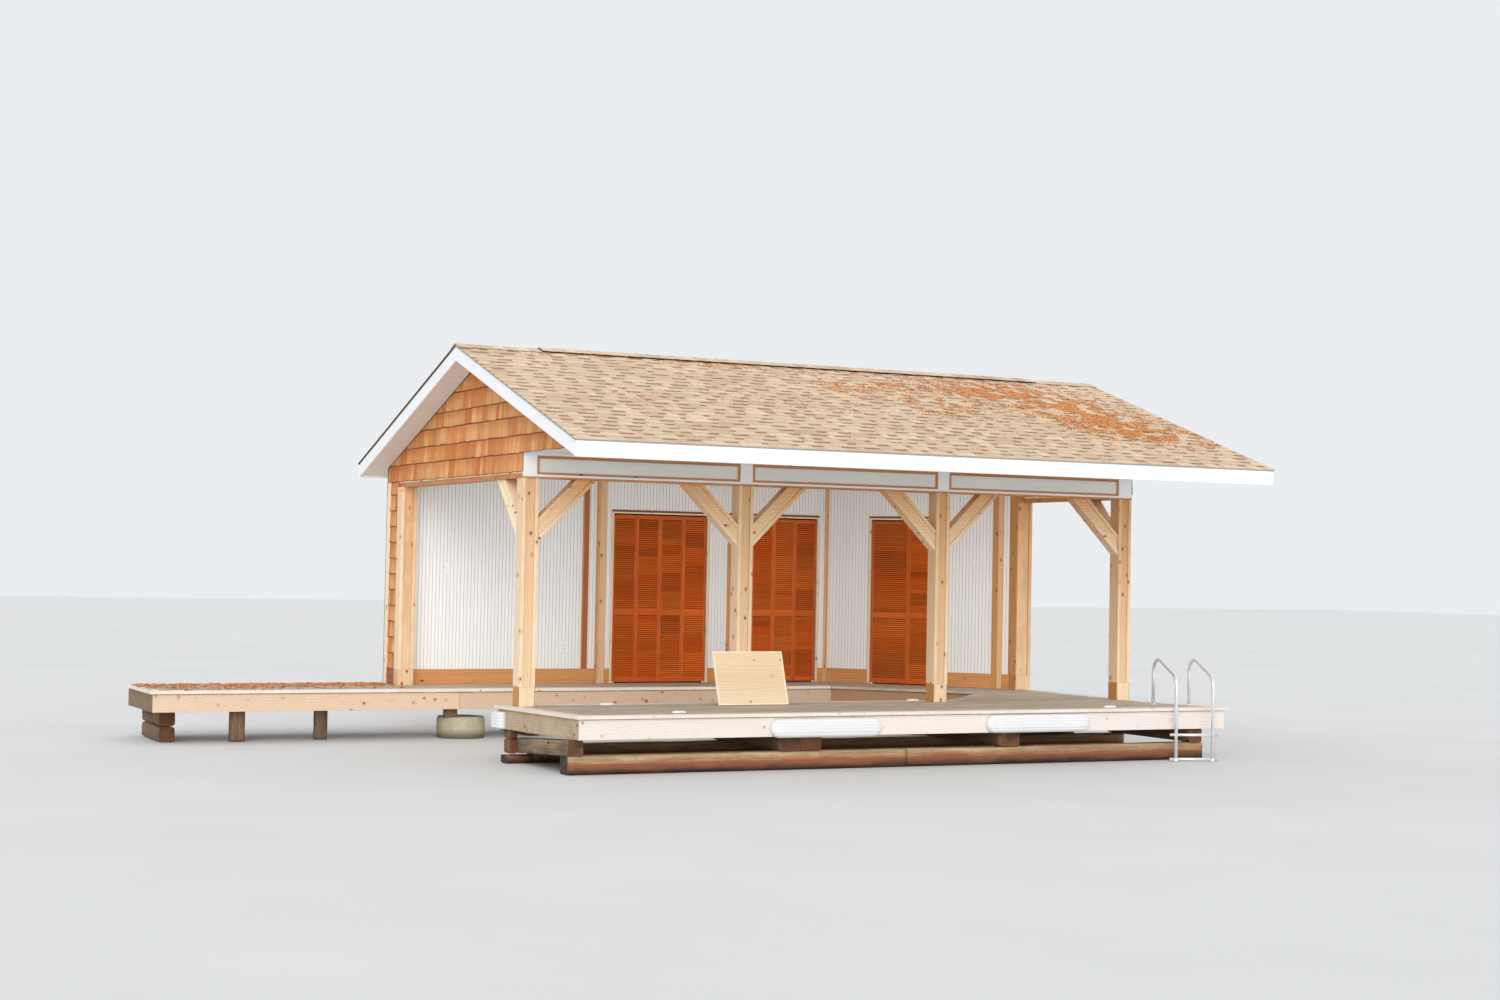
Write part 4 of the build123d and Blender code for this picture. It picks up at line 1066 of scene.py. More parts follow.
# stiles and rails of painted board on the front face
xs = [0.0, PANELS[0][0], PANELS[0][1], PANELS[1][0], PANELS[1][1], PANELS[2][0], PANELS[2][1], FRONT]
for a, b in ((xs[0], xs[1]), (xs[2], xs[3]), (xs[4], xs[5]), (xs[6], xs[7])):
    box(S, a, b, 0, 19.5, PZ0, PZ1, "z", 1.5, tone(0.5, 0.99, 1.01), 0)
for a, b in ((0, 2545), (2546, 5009), (5010, FRONT)):
    box(S, a, b, 0, 19.5, z0, PZ0 - 0.5, "x", 1.5, tone(0.5, 0.97, 1.0), 0)
    box(S, a, b, 0, 19.5, PZ1 + 0.5, CEIL_Z, "x", 1.5, tone(0.5, 0.97, 1.0), 0)
for a, b in PANELS:
    box(S, a + 1, b - 1, 13, 19.5, PZ0 + 1, PZ1 - 1, "x", 1.0, tone(0.5, 0.97, 1.0), 1)
S.make("beam_boards", [white_trim, panel_grey], ["front_beam"])

S = Shape()
for a, b in PANELS:
    fw = 24.0
    box(S, a, b, 3, 12.5, PZ0, PZ0 + 21, "x", 1.5, tone(0.4, 0.9, 1.0))
    box(S, a, b, 3, 12.5, PZ1 - 31, PZ1, "x", 1.5, tone(0.4, 0.86, 0.95))
    box(S, a, a + 28, 3, 12.5, PZ0 + 21.5, PZ1 - 31.5, "z", 1.5, tone(0.4, 0.9, 1.0))
    box(S, b - 28, b, 3, 12.5, PZ0 + 21.5, PZ1 - 31.5, "z", 1.5, tone(0.4, 0.9, 1.0))
for a, b in ((0, 2545), (2546, 5009), (5010, FRONT)):
    box(S, a, b, 0, POST_W, BEAM_Z, z0 - 0.5, "x", 1.5, tone(0.35, 0.95, 1.05))
S.make("beam_cedar_trim", [cedar_dark], ["beam_trim"])

S = Shape()
for xa, xb, yb, out in ((0.0, 140.0, WALL_F, -1), (FRONT - 140.0, FRONT, CORNER_Y + 180, 1)):
    xo = xa if out < 0 else xb
    box(S, xa, xb, POST_W, yb, BEAM_Z, 2384, "y", 2.5, tone(0.5, 0.94, 1.0), 0)
    box(S, xa, xb, POST_W, yb, 2402, CEIL_Z, "y", 2.5, tone(0.5, 0.94, 1.0), 0)
    box(S, xa - (8 if out < 0 else 0), xb + (8 if out > 0 else 0), POST_W, yb, 2384.5, 2401.5, "y", 1.5, tone(0.05, 1.0, 1.05), 1)
    box(S, xo - (8 if out < 0 else 0), xo + (8 if out > 0 else 0), 20, POST_W - 0.5, 2354, 2384, "y", 1.5, tone(0.5, 0.94, 1.0), 0)
    box(S, xo - (8 if out < 0 else 0), xo + (8 if out > 0 else 0), 1, POST_W - 0.5, 2384.5, 2401.5, "y", 1.5, tone(0.05, 1.0, 1.05), 1)
S.make("side_header_boards", [cedar_dark, cedar], ["side_headers"])

# ------------------------------------------------------------------ walls with beaded boards


def beads(put, a, b, z0, z1, pitch=44.0):
    """upright beaded boards between a and b"""
    n = max(1, round((b - a) / pitch))
    w = (b - a) / n
    for i in range(n):
        put(a + i * w + 2.0, a + (i + 1) * w - 2.0, z0, z1, rng.uniform(0.985, 1.01))


S = Shape()


def bead_straight(a, b, z0, z1, br):
    box(S, a, b, WALL_F, WALL_F + 9, z0, z1, "z", 3.6, (0.5, br, 0.5, 1.0), 0)


p, q = slant(0, WALL_T), slant(1000, WALL_T)
m_pt = meet(p, q, (0, WALL_F + WALL_T), (1, WALL_F + WALL_T))
segs = ((110.0, DOOR1[0], 0.0), (DOOR1[1], DOOR2[0], 0.0), (DOOR2[1], BEND_X - 6, 0.0))
# backing behind the boards; its grey between them is painted shade in the grooves
for a, b, zz in segs:
    box(S, a, b, WALL_F + 9.3, WALL_F + WALL_T, 0, CEIL_Z, "z", 0.0, tone(0.5, 1.0, 1.0), 1)
    beads(bead_straight, max(a, 162.0), b - (0 if b < 5700 else 6), 0.0, CEIL_Z)
for a, b in (DOOR1, DOOR2):
    box(S, a, b, WALL_F + 9.3, WALL_F + WALL_T, HEAD_Z, CEIL_Z, "x", 0.0, tone(0.5, 1.0, 1.0), 1)
    beads(bead_straight, a, b, HEAD_Z, CEIL_Z)
S.make("beaded_wall", [bead_white, covered_wall_groove_shade], ["back_wall"])

S = Shape()


def bead_slant(a, b, z0, z1, br):
    sbox(S, a, b, 0, 9, z0, z1, "z", 3.6, (0.5, br, 0.5, 1.0), 0)


s_end = S_LEN - 8.0
s_low = S_LEN - 57.0 / UX + 8.0
# backing behind the boards; its grey between them is painted shade in the grooves
for a, b, zz in ((14.0, DOOR3[0], CEIL_Z), (DOOR3[1], s_low - 4.0, CEIL_Z)):
    sbox(S, a, b, 9.3, WALL_T, 0, zz, "z", 0.0, tone(0.5, 1.0, 1.0), 1)
sbox(S, DOOR3[0], DOOR3[1], 9.3, WALL_T, HEAD_Z, CEIL_Z, "s", 0.0, tone(0.5, 1.0, 1.0), 1)
beads(bead_slant, 8.0, DOOR3[0], 0.0, CEIL_Z)
beads(bead_slant, DOOR3[0], DOOR3[1], HEAD_Z, CEIL_Z)
beads(bead_slant, DOOR3[1], s_low, 0.0, CEIL_Z)
beads(bead_slant, s_low, s_end, BEAM_Z + 0.5, CEIL_Z)
S.make("beaded_slant_wall", [bead_white, covered_wall_groove_shade], ["slanted_wall"])

for name, m in (("outer_back_wall", covered_wall_groove_shade), ("end_walls", covered_wall_groove_shade), ("gable_walls", covered_wall_groove_shade), ("roof_frame", hidden_lumber)):
    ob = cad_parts[name]
    ob = ob if hasattr(ob, "data") else bpy.data.objects[name]
    ob.data.materials.clear()
    ob.data.materials.append(m)

# ------------------------------------------------------------------ trim on the walls
S = Shape()
yb_ = WALL_F - BASE_T
for a, b in ((162, 2531), (2644, DOOR1[0] - 28), (DOOR1[1] + 28, DOOR2[0] - 48), (DOOR2[1] + 28, BEND_X - 35)):
    box(S, a, b, yb_, WALL_F, 0, BASE_H, "x", 3.0, tone(0.25, 0.98, 1.06))
for a, b in ((32, DOOR3[0] - 28), (DOOR3[1] + 28, 2256)):
    sbox(S, a, b, -BASE_T, 0, 0, BASE_H, "s", 3.0, tone(0.25, 0.96, 1.04))
cl = ((FRONT - 237.0, 0.0), (FRONT - 237.0, 1.0))
pq = (slant(2392.5, -BASE_T), meet(slant(0, -BASE_T), slant(100, -BASE_T), *cl))
iq2 = (slant(2392.5, 0), meet(slant(0, 0), slant(100, 0), *cl))
hexa(S, [P3((iq2 if c else pq)[a_], BASE_H if b_ else 0.0) for a_ in (0, 1) for b_ in (0, 1) for c in (0, 1)], 3.0, tone(0.25, 0.94, 1.0))
S.make("base_boards", [cedar_dark], ["baseboards"])

S = Shape()
box(S, 2345, 2357, WALL_F - 19, WALL_F, BASE_H + 0.5, CEIL_Z, "z", 1.5, (0.3, 1.0, 0.2, 1.0), 1)
box(S, 2357.5, 2424, WALL_F - 18, WALL_F, BASE_H + 0.5, CEIL_Z, "z", 2.0, (0.3, 0.92, 1.0, 1.0), 1)
box(S, 2531, 2560, WALL_F - 36, WALL_F, 0, CEIL_Z, "z", 2.0, (0.7, 0.94, 0.9, 1.0), 0)
box(S, 2560.5, 2644, WALL_F - 38, WALL_F, 0, CEIL_Z, "z", 2.5, (0.2, 0.98, 0.6, 1.0), 0)
m2 = meet(slant(0, -19), slant(100, -19), (0, WALL_F - 19), (1, WALL_F - 19))
box(S, BEND_X - 35, m2[0] - 0.5, WALL_F - 19, WALL_F, 0, CEIL_Z, "z", 1.5, (0.5, 1.0, 0.7, 1.0), 0)
q0, q1 = slant(32, 0), slant(32, -19)
quad(S, P3((m2[0], m2[1]), 0), P3((m2[0], m2[1]), CEIL_Z), P3(q1, 0), P3(q1, CEIL_Z), P3(slant(0, 0), 0) - P3((m2[0], m2[1]), 0), 1.5, (0.4, 1.0, 0.8, 1.0), 0)
sbox(S, 2256, 2328, -22, 0, 0, CEIL_Z, "z", 2.0, (0.6, 0.82, 1.0, 1.0), 0)
sbox(S, 2328.5, 2392, -30, 0, 0, CEIL_Z, "z", 2.5, (0.2, 0.97, 0.62, 1.0), 0)
S.make("upright_battens", [cedar, cedar_dark], ["wall_battens"])

# door casings, and tracks in the heads drawn black: painted shade in the gap above the doors
S = Shape()
for a, b in (DOOR1, DOOR2):
    box(S, a - 28, b + 28, WALL_F - 12, WALL_F, HEAD_Z + 0.5, HEAD_Z + 20, "x", 1.5, (0.5, 0.98, 0.1, 1.0), 0)
    box(S, a - 28, b + 28, WALL_F - 15, WALL_F, HEAD_Z + 20.5, HEAD_Z + 43.5, "x", 1.5, (0.5, 0.5, 1.0, 1.0), 1)
    box(S, a, b, WALL_F + 5, WALL_F + 50, DOOR_GAP + DOOR_H + 4, HEAD_Z, "x", 1.0, tone(0.9, 0.8, 0.9), 2)
for a, b, m in ((DOOR1[0] - 28, DOOR1[0], 0), (DOOR1[1], DOOR1[1] + 28, 0), (DOOR2[0] - 48, DOOR2[0], 1), (DOOR2[1], DOOR2[1] + 28, 0)):
    box(S, a, b, WALL_F - 15, WALL_F, 0, HEAD_Z, "z", 1.5, (0.5, 0.98, 0.2, 1.0), m)
sbox(S, DOOR3[0] - 28, DOOR3[1] + 28, -12, 0, HEAD_Z + 0.5, HEAD_Z + 20, "s", 1.5, (0.5, 0.98, 0.1, 1.0), 0)
sbox(S, DOOR3[0] - 28, DOOR3[1] + 28, -15, 0, HEAD_Z + 20.5, HEAD_Z + 43.5, "s", 1.5, (0.5, 0.5, 1.0, 1.0), 1)
sbox(S, DOOR3[0], DOOR3[1], 5, 50, DOOR_GAP + DOOR_H + 4, HEAD_Z, "s", 1.0, tone(0.9, 0.8, 0.9), 2)
for a, b in ((DOOR3[0] - 28, DOOR3[0]), (DOOR3[1], DOOR3[1] + 28)):
    sbox(S, a, b, -15, 0, 0, HEAD_Z, "z", 1.5, (0.5, 0.98, 0.2, 1.0), 0)
S.make("door_casings", [cedar, cedar_dark, black_edge_and_shade], ["door_head_trim"])

# ------------------------------------------------------------------ louvred folding doors
STILE, R_TOP, R_MID, R_BOT = 25.0, 50.0, 76.0, 54.0
MID_Z = 841.0


def leaf(put, slat, a, b, seed, fold=0.0):
    """one louvred leaf: stiles, three rails and two fields of tilted slats"""
    r = random.Random(seed)
    base = r.uniform(0.92, 1.05)
    warm = r.uniform(0.05, 0.3)
    zt, zb = DOOR_GAP + DOOR_H, DOOR_GAP
    z_mid = MID_Z
    put(a, a + STILE, 0, DOOR_T, zb, zt, "z", (r.random(), base * r.uniform(0.84, 0.93), warm + 0.1, 1.0))
    put(b - STILE, b, 0, DOOR_T, zb, zt, "z", (r.random(), base * r.uniform(0.84, 0.93), warm + 0.1, 1.0))
    for z0, z1 in ((zb, zb + R_BOT), (z_mid, z_mid + R_MID), (zt - R_TOP, zt)):
        put(a + STILE + 0.4, b - STILE - 0.4, 1.0, DOOR_T - 1.0, z0, z1, "s", (r.random(), base * r.uniform(0.76, 0.94), warm, 1.0))
    for z0, z1 in ((zb + R_BOT, z_mid), (z_mid + R_MID, zt - R_TOP)):
        n = int((z1 - z0) // 25.0)
        pitch = (z1 - z0) / n
        left_, gb, gw = 0, 1.0, 0.2
        for k in range(n):
            zc = z0 + (k + 0.5) * pitch
            if left_ <= 0:
                left_, gb, gw = r.randint(2, 9), r.choice((0.74, 0.86, 0.92, 0.96, 1.0, 1.04)), r.uniform(-0.1, 0.3)
            left_ -= 1
            slat(a + STILE - 2, b - STILE + 2, zc, (r.random(), base * gb * r.uniform(0.95, 1.04), min(1.0, max(0.0, warm + gw)), 1.0))


def straight_put(a, b, d0, d1, z0, z1, al, tint, m=0, r=1.6):
    box(S, a, b, WALL_F + 12 + d0, WALL_F + 12 + d1, z0, z1, "z" if al == "z" else "x", r, tint, m)


def slant_put(a, b, d0, d1, z0, z1, al, tint, m=0, r=1.6):
    sbox(S, a, b, 12 + d0, 12 + d1, z0, z1, al, r, tint, m)


SL_D0, SL_D1, SL_R, SL_T = 3.5, 24.0, 15.0, 7.0   # slat: front and back depth, half rise, thickness upright


def slat_shade_tone(zc, tint):
    """painted shade: a slat is lighter at its front edge and darkened towards the back, where the next slat above
    overhangs it
    """
    r_, b_, w_, _ = tint
    return lambda p: (r_, b_ * (1.16 - 0.76 * min(1.0, max(0.0, (p[2] - zc + 9.0) / 22.0))), w_, 1.0)


def straight_slat(a, b, zc, tint):
    y0, y1 = WALL_F + 12 + SL_D0, WALL_F + 12 + SL_D1
    quad(S, (a, y0, zc - SL_R), (b, y0, zc - SL_R), (a, y1, zc + SL_R - SL_T), (b, y1, zc + SL_R - SL_T), (0, 0, SL_T), 1.3, slat_shade_tone(zc, tint))


def slant_slat(a, b, zc, tint):
    quad(S, slant(a, 12 + SL_D0, zc - SL_R), slant(b, 12 + SL_D0, zc - SL_R), slant(a, 12 + SL_D1, zc + SL_R - SL_T), slant(b, 12 + SL_D1, zc + SL_R - SL_T), (0, 0, SL_T), 1.3, slat_shade_tone(zc, tint))


seed = 100
for idx, (d, n, put, sl) in enumerate(((DOOR1, 4, straight_put, straight_slat), (DOOR2, 4, straight_put, straight_slat), (DOOR3, 2, slant_put, slant_slat))):
    S = Shape()
    w = (d[1] - d[0] - 8) / n
    for i in range(n):
        a = d[0] + 4 + w * i
        leaf(put, sl, a + 1.5, a + w - 1.5, seed)
        seed += 1
    # pivot brackets and small knobs
    for e in (d[0] + 6, d[1] - 6 - 34):
        put(e, e + 34, -9, 1, 2, 16, "s", (0.5, 1.0, 0.5, 1.0), 1, 2.0)
        put(e + 10, e + 24, -1, 14, -0.0, 13.6, "s", (0.5, 1.0, 0.5, 1.0), 1, 1.5)
    mid_w = d[0] + 4 + w * (n / 2)
    for e in ((mid_w - 26, mid_w + 12) if n == 4 else (mid_w - 26,)):
        put(e, e + 14, -12, 1, MID_Z + 38, MID_Z + 54, "s", (0.4, 0.75, 0.2, 1.0), 0, 4.0)
    S.make("louvred_door_%d" % (idx + 1), [louvre_wood, plastic], ["folding_door_%d" % (idx + 1)])

# switch plate and outlet
S = Shape()
for x0, x1, z0, z1 in ((560, 630, 1330, 1445), (2090, 2160, 390, 505)):
    box(S, x0, x1, WALL_F - 5.5, WALL_F, z0, z1, "z", 2.5, (0.5, 1.0, 0.5, 1.0), 0)
    xm, zm = (x0 + x1) / 2, (z0 + z1) / 2
    if z0 > 1000:
        box(S, xm - 5, xm + 5, WALL_F - 13, WALL_F - 5, zm - 4, zm + 10, "z", 2.0, (0.5, 0.98, 0.5, 1.0), 0)
        box(S, xm - 16, xm + 16, WALL_F - 7, WALL_F - 5, zm - 30, zm + 30, "z", 1.0, (0.5, 0.97, 0.5, 1.0), 0)
    else:
        for dz in (-22, 22):
            box(S, xm - 17, xm + 17, WALL_F - 8, WALL_F - 5, zm + dz - 14, zm + dz + 14, "z", 3.0, (0.5, 0.96, 0.5, 1.0), 0)
            # slot openings in near-black: painted shade
            box(S, xm - 8, xm - 5.5, WALL_F - 8.6, WALL_F - 7, zm + dz - 4, zm + dz + 6, "z", 0.0, (0.5, 0.3, 0.5, 1.0), 1)
            box(S, xm + 5.5, xm + 8, WALL_F - 8.6, WALL_F - 7, zm + dz - 4, zm + dz + 6, "z", 0.0, (0.5, 0.3, 0.5, 1.0), 1)
S.make("switch_and_outlet", [plastic, black_edge_and_shade], ["wall_plates"])

# ------------------------------------------------------------------ shingled walls


def shingle_face(S, P, u0, u1, courses, top, wlo=75.0, whi=245.0, out=18.0, base_tone=1.0, cut=None):
    """courses of tapered shingles on an upright face.  P(u, z, out) gives a point, courses are the butt
    heights with the last one only an end, top(u) is the upper limit"""
    for k in range(len(courses) - 1):
        zb, zn = courses[k], courses[k + 1]
        u = u0
        first = True
        while u < u1 - 12:
            w = rng.choice((rng.uniform(wlo, wlo + 60), rng.uniform(wlo + 30, whi), rng.uniform(wlo, whi)))
            if first:
                w *= rng.uniform(0.4, 1.0)
                first = False
            v = min(u + w, u1)
            if u1 - v < 40:
                v = u1
            a, b = u + 1.6, v - 1.6
            zb2 = zb + rng.uniform(-5.0, 4.0)
            ta, tb = min(zn + 26, top(a)), min(zn + 26, top(b))
            # keep clear of a sloping limit
            if top(a) < zb2 + 10 and top(b) < zb2 + 10:
                u = v
                continue
            if top(a) < zb2 + 10:
                while top(a) < zb2 + 10 and a < b - 4:
                    a += 4
                ta = min(zn + 26, top(a))
            if top(b) < zb2 + 10:
                while top(b) < zb2 + 10 and b > a + 4:
                    b -= 4
                tb = min(zn + 26, top(b))
            if b - a < 10:
                u = v
                continue
            o1 = out + rng.uniform(-1.5, 1.0)
            o2 = o1 - 9.5 * (min(ta, tb) - zb2) / (zn + 26 - zb2)
            o3 = o1 - 9.5 * (ta - zb2) / (zn + 26 - zb2)
            o4 = o1 - 9.5 * (tb - zb2) / (zn + 26 - zb2)
            C = []
            for i in range(8):
                e, ac, th = (i >> 2) & 1, (i >> 1) & 1, i & 1
                uu = b if ac else a
                zz = (tb if ac else ta) if e else zb2
                oo = (o4 if ac else o3) if e else o1
                C.append(P(uu, zz, oo if th else max(0.0, oo - (3.5 if e else 10.0))))
            r_, b_, ze, zf = rng.random(), base_tone * rng.uniform(0.92, 1.06), zb2, zn + 26 - zb2
            hexa(S, C, 1.2, lambda p, r_=r_, b_=b_, ze=ze, zf=zf: (r_, b_, (p[2] - ze) / zf, 1.0))
            u = v


G_COURSES = [2398.0, 2593.0, 2773.0, 2966.0, 3136.0, 3337.0, 3530.0, 3700.0]
S = Shape()
for side_x, sgn in ((0.0, -1.0), (FRONT, 1.0)):
    Pf = lambda u, z, o, side_x=side_x, sgn=sgn: np.array([side_x + sgn * o, u, z])
    lim = lambda u: roof_z(u, SH) - 1.0
    # below the flat soffit the gable starts at the beam
    for k in range(len(G_COURSES) - 1):
        lo = 0.0 if k == 0 else YF2 - 600
        shingle_face(S, Pf, max(lo, YF2 + 2) if k else 2.0, WALL_B - CLAD - 1, [G_COURSES[k], G_COURSES[k + 1]], lim)
    # backing, tinted as the covered end of a shingle so the joints show the painted under-course shade
    quad(S, Pf(2, 2402, 0), Pf(2, CEIL_Z - 1, 0), Pf(WALL_B - CLAD - 1, 2402, 0), Pf(WALL_B - CLAD - 1, CEIL_Z - 1, 0), (sgn * 5.0, 0, 0), 0.0, (0.1, 0.6, 1.0, 1.0))
S.make("gable_shingle_courses", [gable_mat], ["gable_shingles"])

S = Shape()
# end wall, left: base board, corner boards, courses
lc = [BASE_H + 2 + 187.5 * k for k in range(13)]
for side_x, sgn, ya_, yb_w in ((0.0, -1.0, WALL_F + 1, WALL_B), (FRONT, 1.0, CORNER_Y + 186, WALL_B)):
    st, rear = (0, 132) if sgn < 0 else (70, 92)
    Pf = lambda u, z, o, side_x=side_x, sgn=sgn: np.array([side_x + sgn * o, u, z])
    def slab(u0, u1, z0, z1, o, tint, m, al="z"):
        if al == "z":
            quad(S, Pf(u0, z0, 0.3), Pf(u0, z1, 0.3), Pf(u1, z0, 0.3), Pf(u1, z1, 0.3), (sgn * (o - 0.3), 0, 0), 2.0, tint, m)
        else:
            quad(S, Pf(u0, z0, 0.3), Pf(u1, z0, 0.3), Pf(u0, z1, 0.3), Pf(u1, z1, 0.3), (sgn * (o - 0.3), 0, 0), 2.0, tint, m)
    if st:
        slab(ya_, ya_ + 68, 0, 2396, CLAD, (0.3, 1.0, 0.15, 1.0), 1)
    slab(yb_w - rear + 2, yb_w, 0, 2396, CLAD, (0.6, 1.02, 0.0, 1.0), 1)
    slab(ya_ + st, yb_w - rear, 0, BASE_H, CLAD - 3, (0.6, 0.82, 1.0, 1.0), 2, "s")
    # backing, dark with the painted under-course shade where it shows between shingles
    quad(S, Pf(ya_ + st, BASE_H, 0.2), Pf(ya_ + st, 2396, 0.2), Pf(yb_w - rear, BASE_H, 0.2), Pf(yb_w - rear, 2396, 0.2), (sgn * 4.0, 0, 0), 0.0, (0.1, 0.6, 1.0, 1.0), 0)
    shingle_face(S, Pf, ya_ + st, yb_w - rear, [z for z in lc if z < 2380] + [2396.0], lambda u: 2396.0, 60.0, 190.0, 17.0)
# back wall
Pf = lambda u, z, o: np.array([u, WALL_B - CLAD + o, z])
# backing, dark with the painted under-course shade where it shows between shingles
box(S, -CLAD, FRONT + CLAD, WALL_B - CLAD + 0.2, WALL_B - CLAD + 4, 0, 2600, "x", 0.0, (0.1, 0.6, 1.0, 1.0), 0)
topb = lambda u: roof_z(WALL_B, SH) - 2.0
zc_list = [BASE_H + 2 + 187.5 * k for k in range(16)]
zc_list = [z for z in zc_list if z < topb(0) - 30] + [topb(0)]
shingle_face(S, Pf, -CLAD + 92, FRONT + CLAD - 92, zc_list, topb, 75.0, 240.0, 17.5)
box(S, -CLAD + 92, FRONT + CLAD - 92, WALL_B - CLAD + 0.3, WALL_B - 3, 0, BASE_H, "x", 2.0, (0.6, 0.82, 1.0, 1.0), 2)
for xa in (-CLAD, FRONT + CLAD - 90):
    box(S, xa, xa + 90, WALL_B - CLAD + 4.5, WALL_B, 0, topb(0), "z", 2.0, (0.6, 1.02, 0.05, 1.0), 1)
S.make("wall_shingle_courses", [gable_mat, cedar, cedar_dark], ["wall_shingles"])

# ------------------------------------------------------------------ roof
C_A = 1.0 / math.hypot(1.0, SLOPE)
S_A = SLOPE * C_A
YE = EAVE_F - ROOF_EDGE
LS = (RIDGE_Y - YE) / C_A
ZE = roof_z(YE)


def slope_pt(back):
    def P(s, x, n):
        y = YE + s * C_A - n * S_A
        z = ZE + s * S_A + n * C_A
        if back:
            y = 2 * RIDGE_Y - y
        return np.array([x, y, z])
    return P


def roof_slope(name, back, node, seed):
    global rng
    keep = rng
    rng = random.Random(seed)
    P = slope_pt(back)
    S = Shape()
    xa, xb = RX0 - ROOF_EDGE, RX1 + ROOF_EDGE

    def plate(s0, s1, x0, x1, n0, n1, tint, m, r=0.0, t0=None, t1=None):
        C = []
        for i in range(8):
            a, b, c = (i >> 2) & 1, (i >> 1) & 1, i & 1
            C.append(P(s1 if a else s0, x1 if b else x0, (n1 if c else n0)))
        hexa(S, C, r, tint, m)

    # sheathing, then a metal edge at eave and rakes
    plate(10, LS - 0.5, xa + 10, xb - 10, -24.0, -13.0, (0.5, 0.9, 0.5, 1.0), 2)
    plate(1.5, 60, xa + 4, xb - 4, -12.9, -10.0, (0.5, 1.0, 0.5, 1.0), 3)
    plate(1.5, 9.5, xa + 4, xb - 4, -24.5, -13.0, (0.5, 1.0, 0.5, 1.0), 3, 0.8)
    # the back slope's rake edges are black: a dark drip edge, with painted shade on the shingle edge
    edge_m = 4 if back else 3
    for x0, x1 in ((xa + 1.5, xa + 9.5), (xb - 9.5, xb - 1.5)):
        plate(10, LS - 1, x0, x1, -24.5, -10.0, (0.5, 0.9, 0.5, 1.0), edge_m, 0.8)
    n = 26
    e = LS / n
    for k in range(n):
        s0, s1 = k * e, (k + 1) * e
        # base layer in lengths of about a metre
        x = xa - rng.uniform(0, 900)
        while x < xb:
            x0, x1 = max(x, xa), min(x + 1000, xb)
            x += 1000
            if x1 - x0 < 5:
                continue
            s2 = min(s1 + 22, LS - 0.5)
            r_, b_ = rng.random(), rng.uniform(0.95, 1.04)
            C = []
            for i in range(8):
                a, b, c = (i >> 2) & 1, (i >> 1) & 1, i & 1
                if a:
                    C.append(P(s2, (x1 - 0.6) if b else (x0 + 0.6), -8.9 if c else -12.8))
                else:
                    C.append(P(s0, (x1 - 0.6) if b else (x0 + 0.6), -4.6 if c else -9.4))
            t_end = (s2 - s0) / e
            cc = P(s0, 0, -7.0)
            hexa(S, C, 0.0, lambda p, r_=r_, b_=b_, cc=cc, t_end=t_end, s2=s2, s0=s0: (r_, b_, np.linalg.norm((p - cc)[1:]) / e, 1.0), 1)
        # upper tabs
        x = xa + rng.uniform(-120, 40)
        while x < xb:
            w = rng.uniform(90, 260)
            gp = rng.uniform(60, 190)
            x0, x1 = max(x, xa), min(x + w, xb)
            x += w + gp
            if x1 - x0 < 30:
                continue
            j0, j1 = rng.uniform(2, 12), rng.uniform(2, 12)
            s2 = min(s1 + 8, LS - 0.3)
            sb = s0 if k == 0 else s0 + rng.uniform(-1.5, 1.5)
            r_, b_ = rng.random(), rng.uniform(0.93, 1.06)
            C = []
            for i in range(8):
                a, b, c = (i >> 2) & 1, (i >> 1) & 1, i & 1
                jx = (-(j1) if b else j0) if a else 0.0
                C.append(P(s2 if a else sb, (x1 if b else x0) + jx, (-4.6 if a else 0.0) if c else (-8.8 if a else -4.55)))
            cc = P(sb, 0, -4.0)
            hexa(S, C, 0.0, lambda p, r_=r_, b_=b_, cc=cc: (r_, b_, np.linalg.norm((p - cc)[1:]) / e, 1.0), 0)
    rng = keep
    return S.make(name, [roof_top, roof_low, hidden_lumber, grey_metal, black_edge_and_shade], [node])


roof_slope("roof_shingles_front", False, "roof_front", 501)
roof_slope("roof_shingles_back", True, "roof_back", 502)

# ridge: vent core, caps over it, thin caps beyond its ends
S = Shape()
PF, PB = slope_pt(False), slope_pt(True)
VX0, VX1 = 640.0, 7010.0
for P in (PF, PB):
    for x0 in np.arange(VX0, VX1 - 1, 1061.5):
        x1 = min(x0 + 1060.5, VX1)
        C = []
        for i in range(8):
            a, b, c = (i >> 2) & 1, (i >> 1) & 1, i & 1
            C.append(P((LS - 0.2) if b else (LS - 138), x1 if a else x0, 14.0 if c else 0.4))
        hexa(S, C, 1.0, tone(0.5, 0.9, 1.0), 1)
        # fins along the open edge
        nf = int((x1 - x0) / 22)
        for f in range(nf):
            xf = x0 + 6 + f * (x1 - x0 - 12) / nf
            C = []
            for i in range(8):
                a, b, c = (i >> 2) & 1, (i >> 1) & 1, i & 1
                C.append(P((LS - 137) if b else (LS - 148), xf + (4 if a else 0), 12.5 if c else 0.8))
            hexa(S, C, 0.0, tone(0.5, 0.9, 1.0), 1)


def caps(xa, xb, n_base, w, mat=0):
    n = max(1, round((xb - xa) / 143.0))
    e = (xb - xa) / n
    for k in range(n):
        x0, x1 = xa + k * e, xa + (k + 1) * e
        r_, b_ = rng.random(), rng.uniform(0.88, 1.04)
        for P in (PF, PB):
            C = []
            for i in range(8):
                a, b, c = (i >> 2) & 1, (i >> 1) & 1, i & 1
                rise = 0.0 if a else 4.0          # lapped towards the left
                xx = (min(x1 + 12, xb) if a else x0)
                C.append(P((LS - 0.1) if b else (LS - w + (2 if a else 0)), xx, n_base + rise * 0.9 + (4.4 if c else 0.0) - (0.9 if a else 0.0)))
            hexa(S, C, 0.8, (r_, b_, 0.1, 1.0), mat)


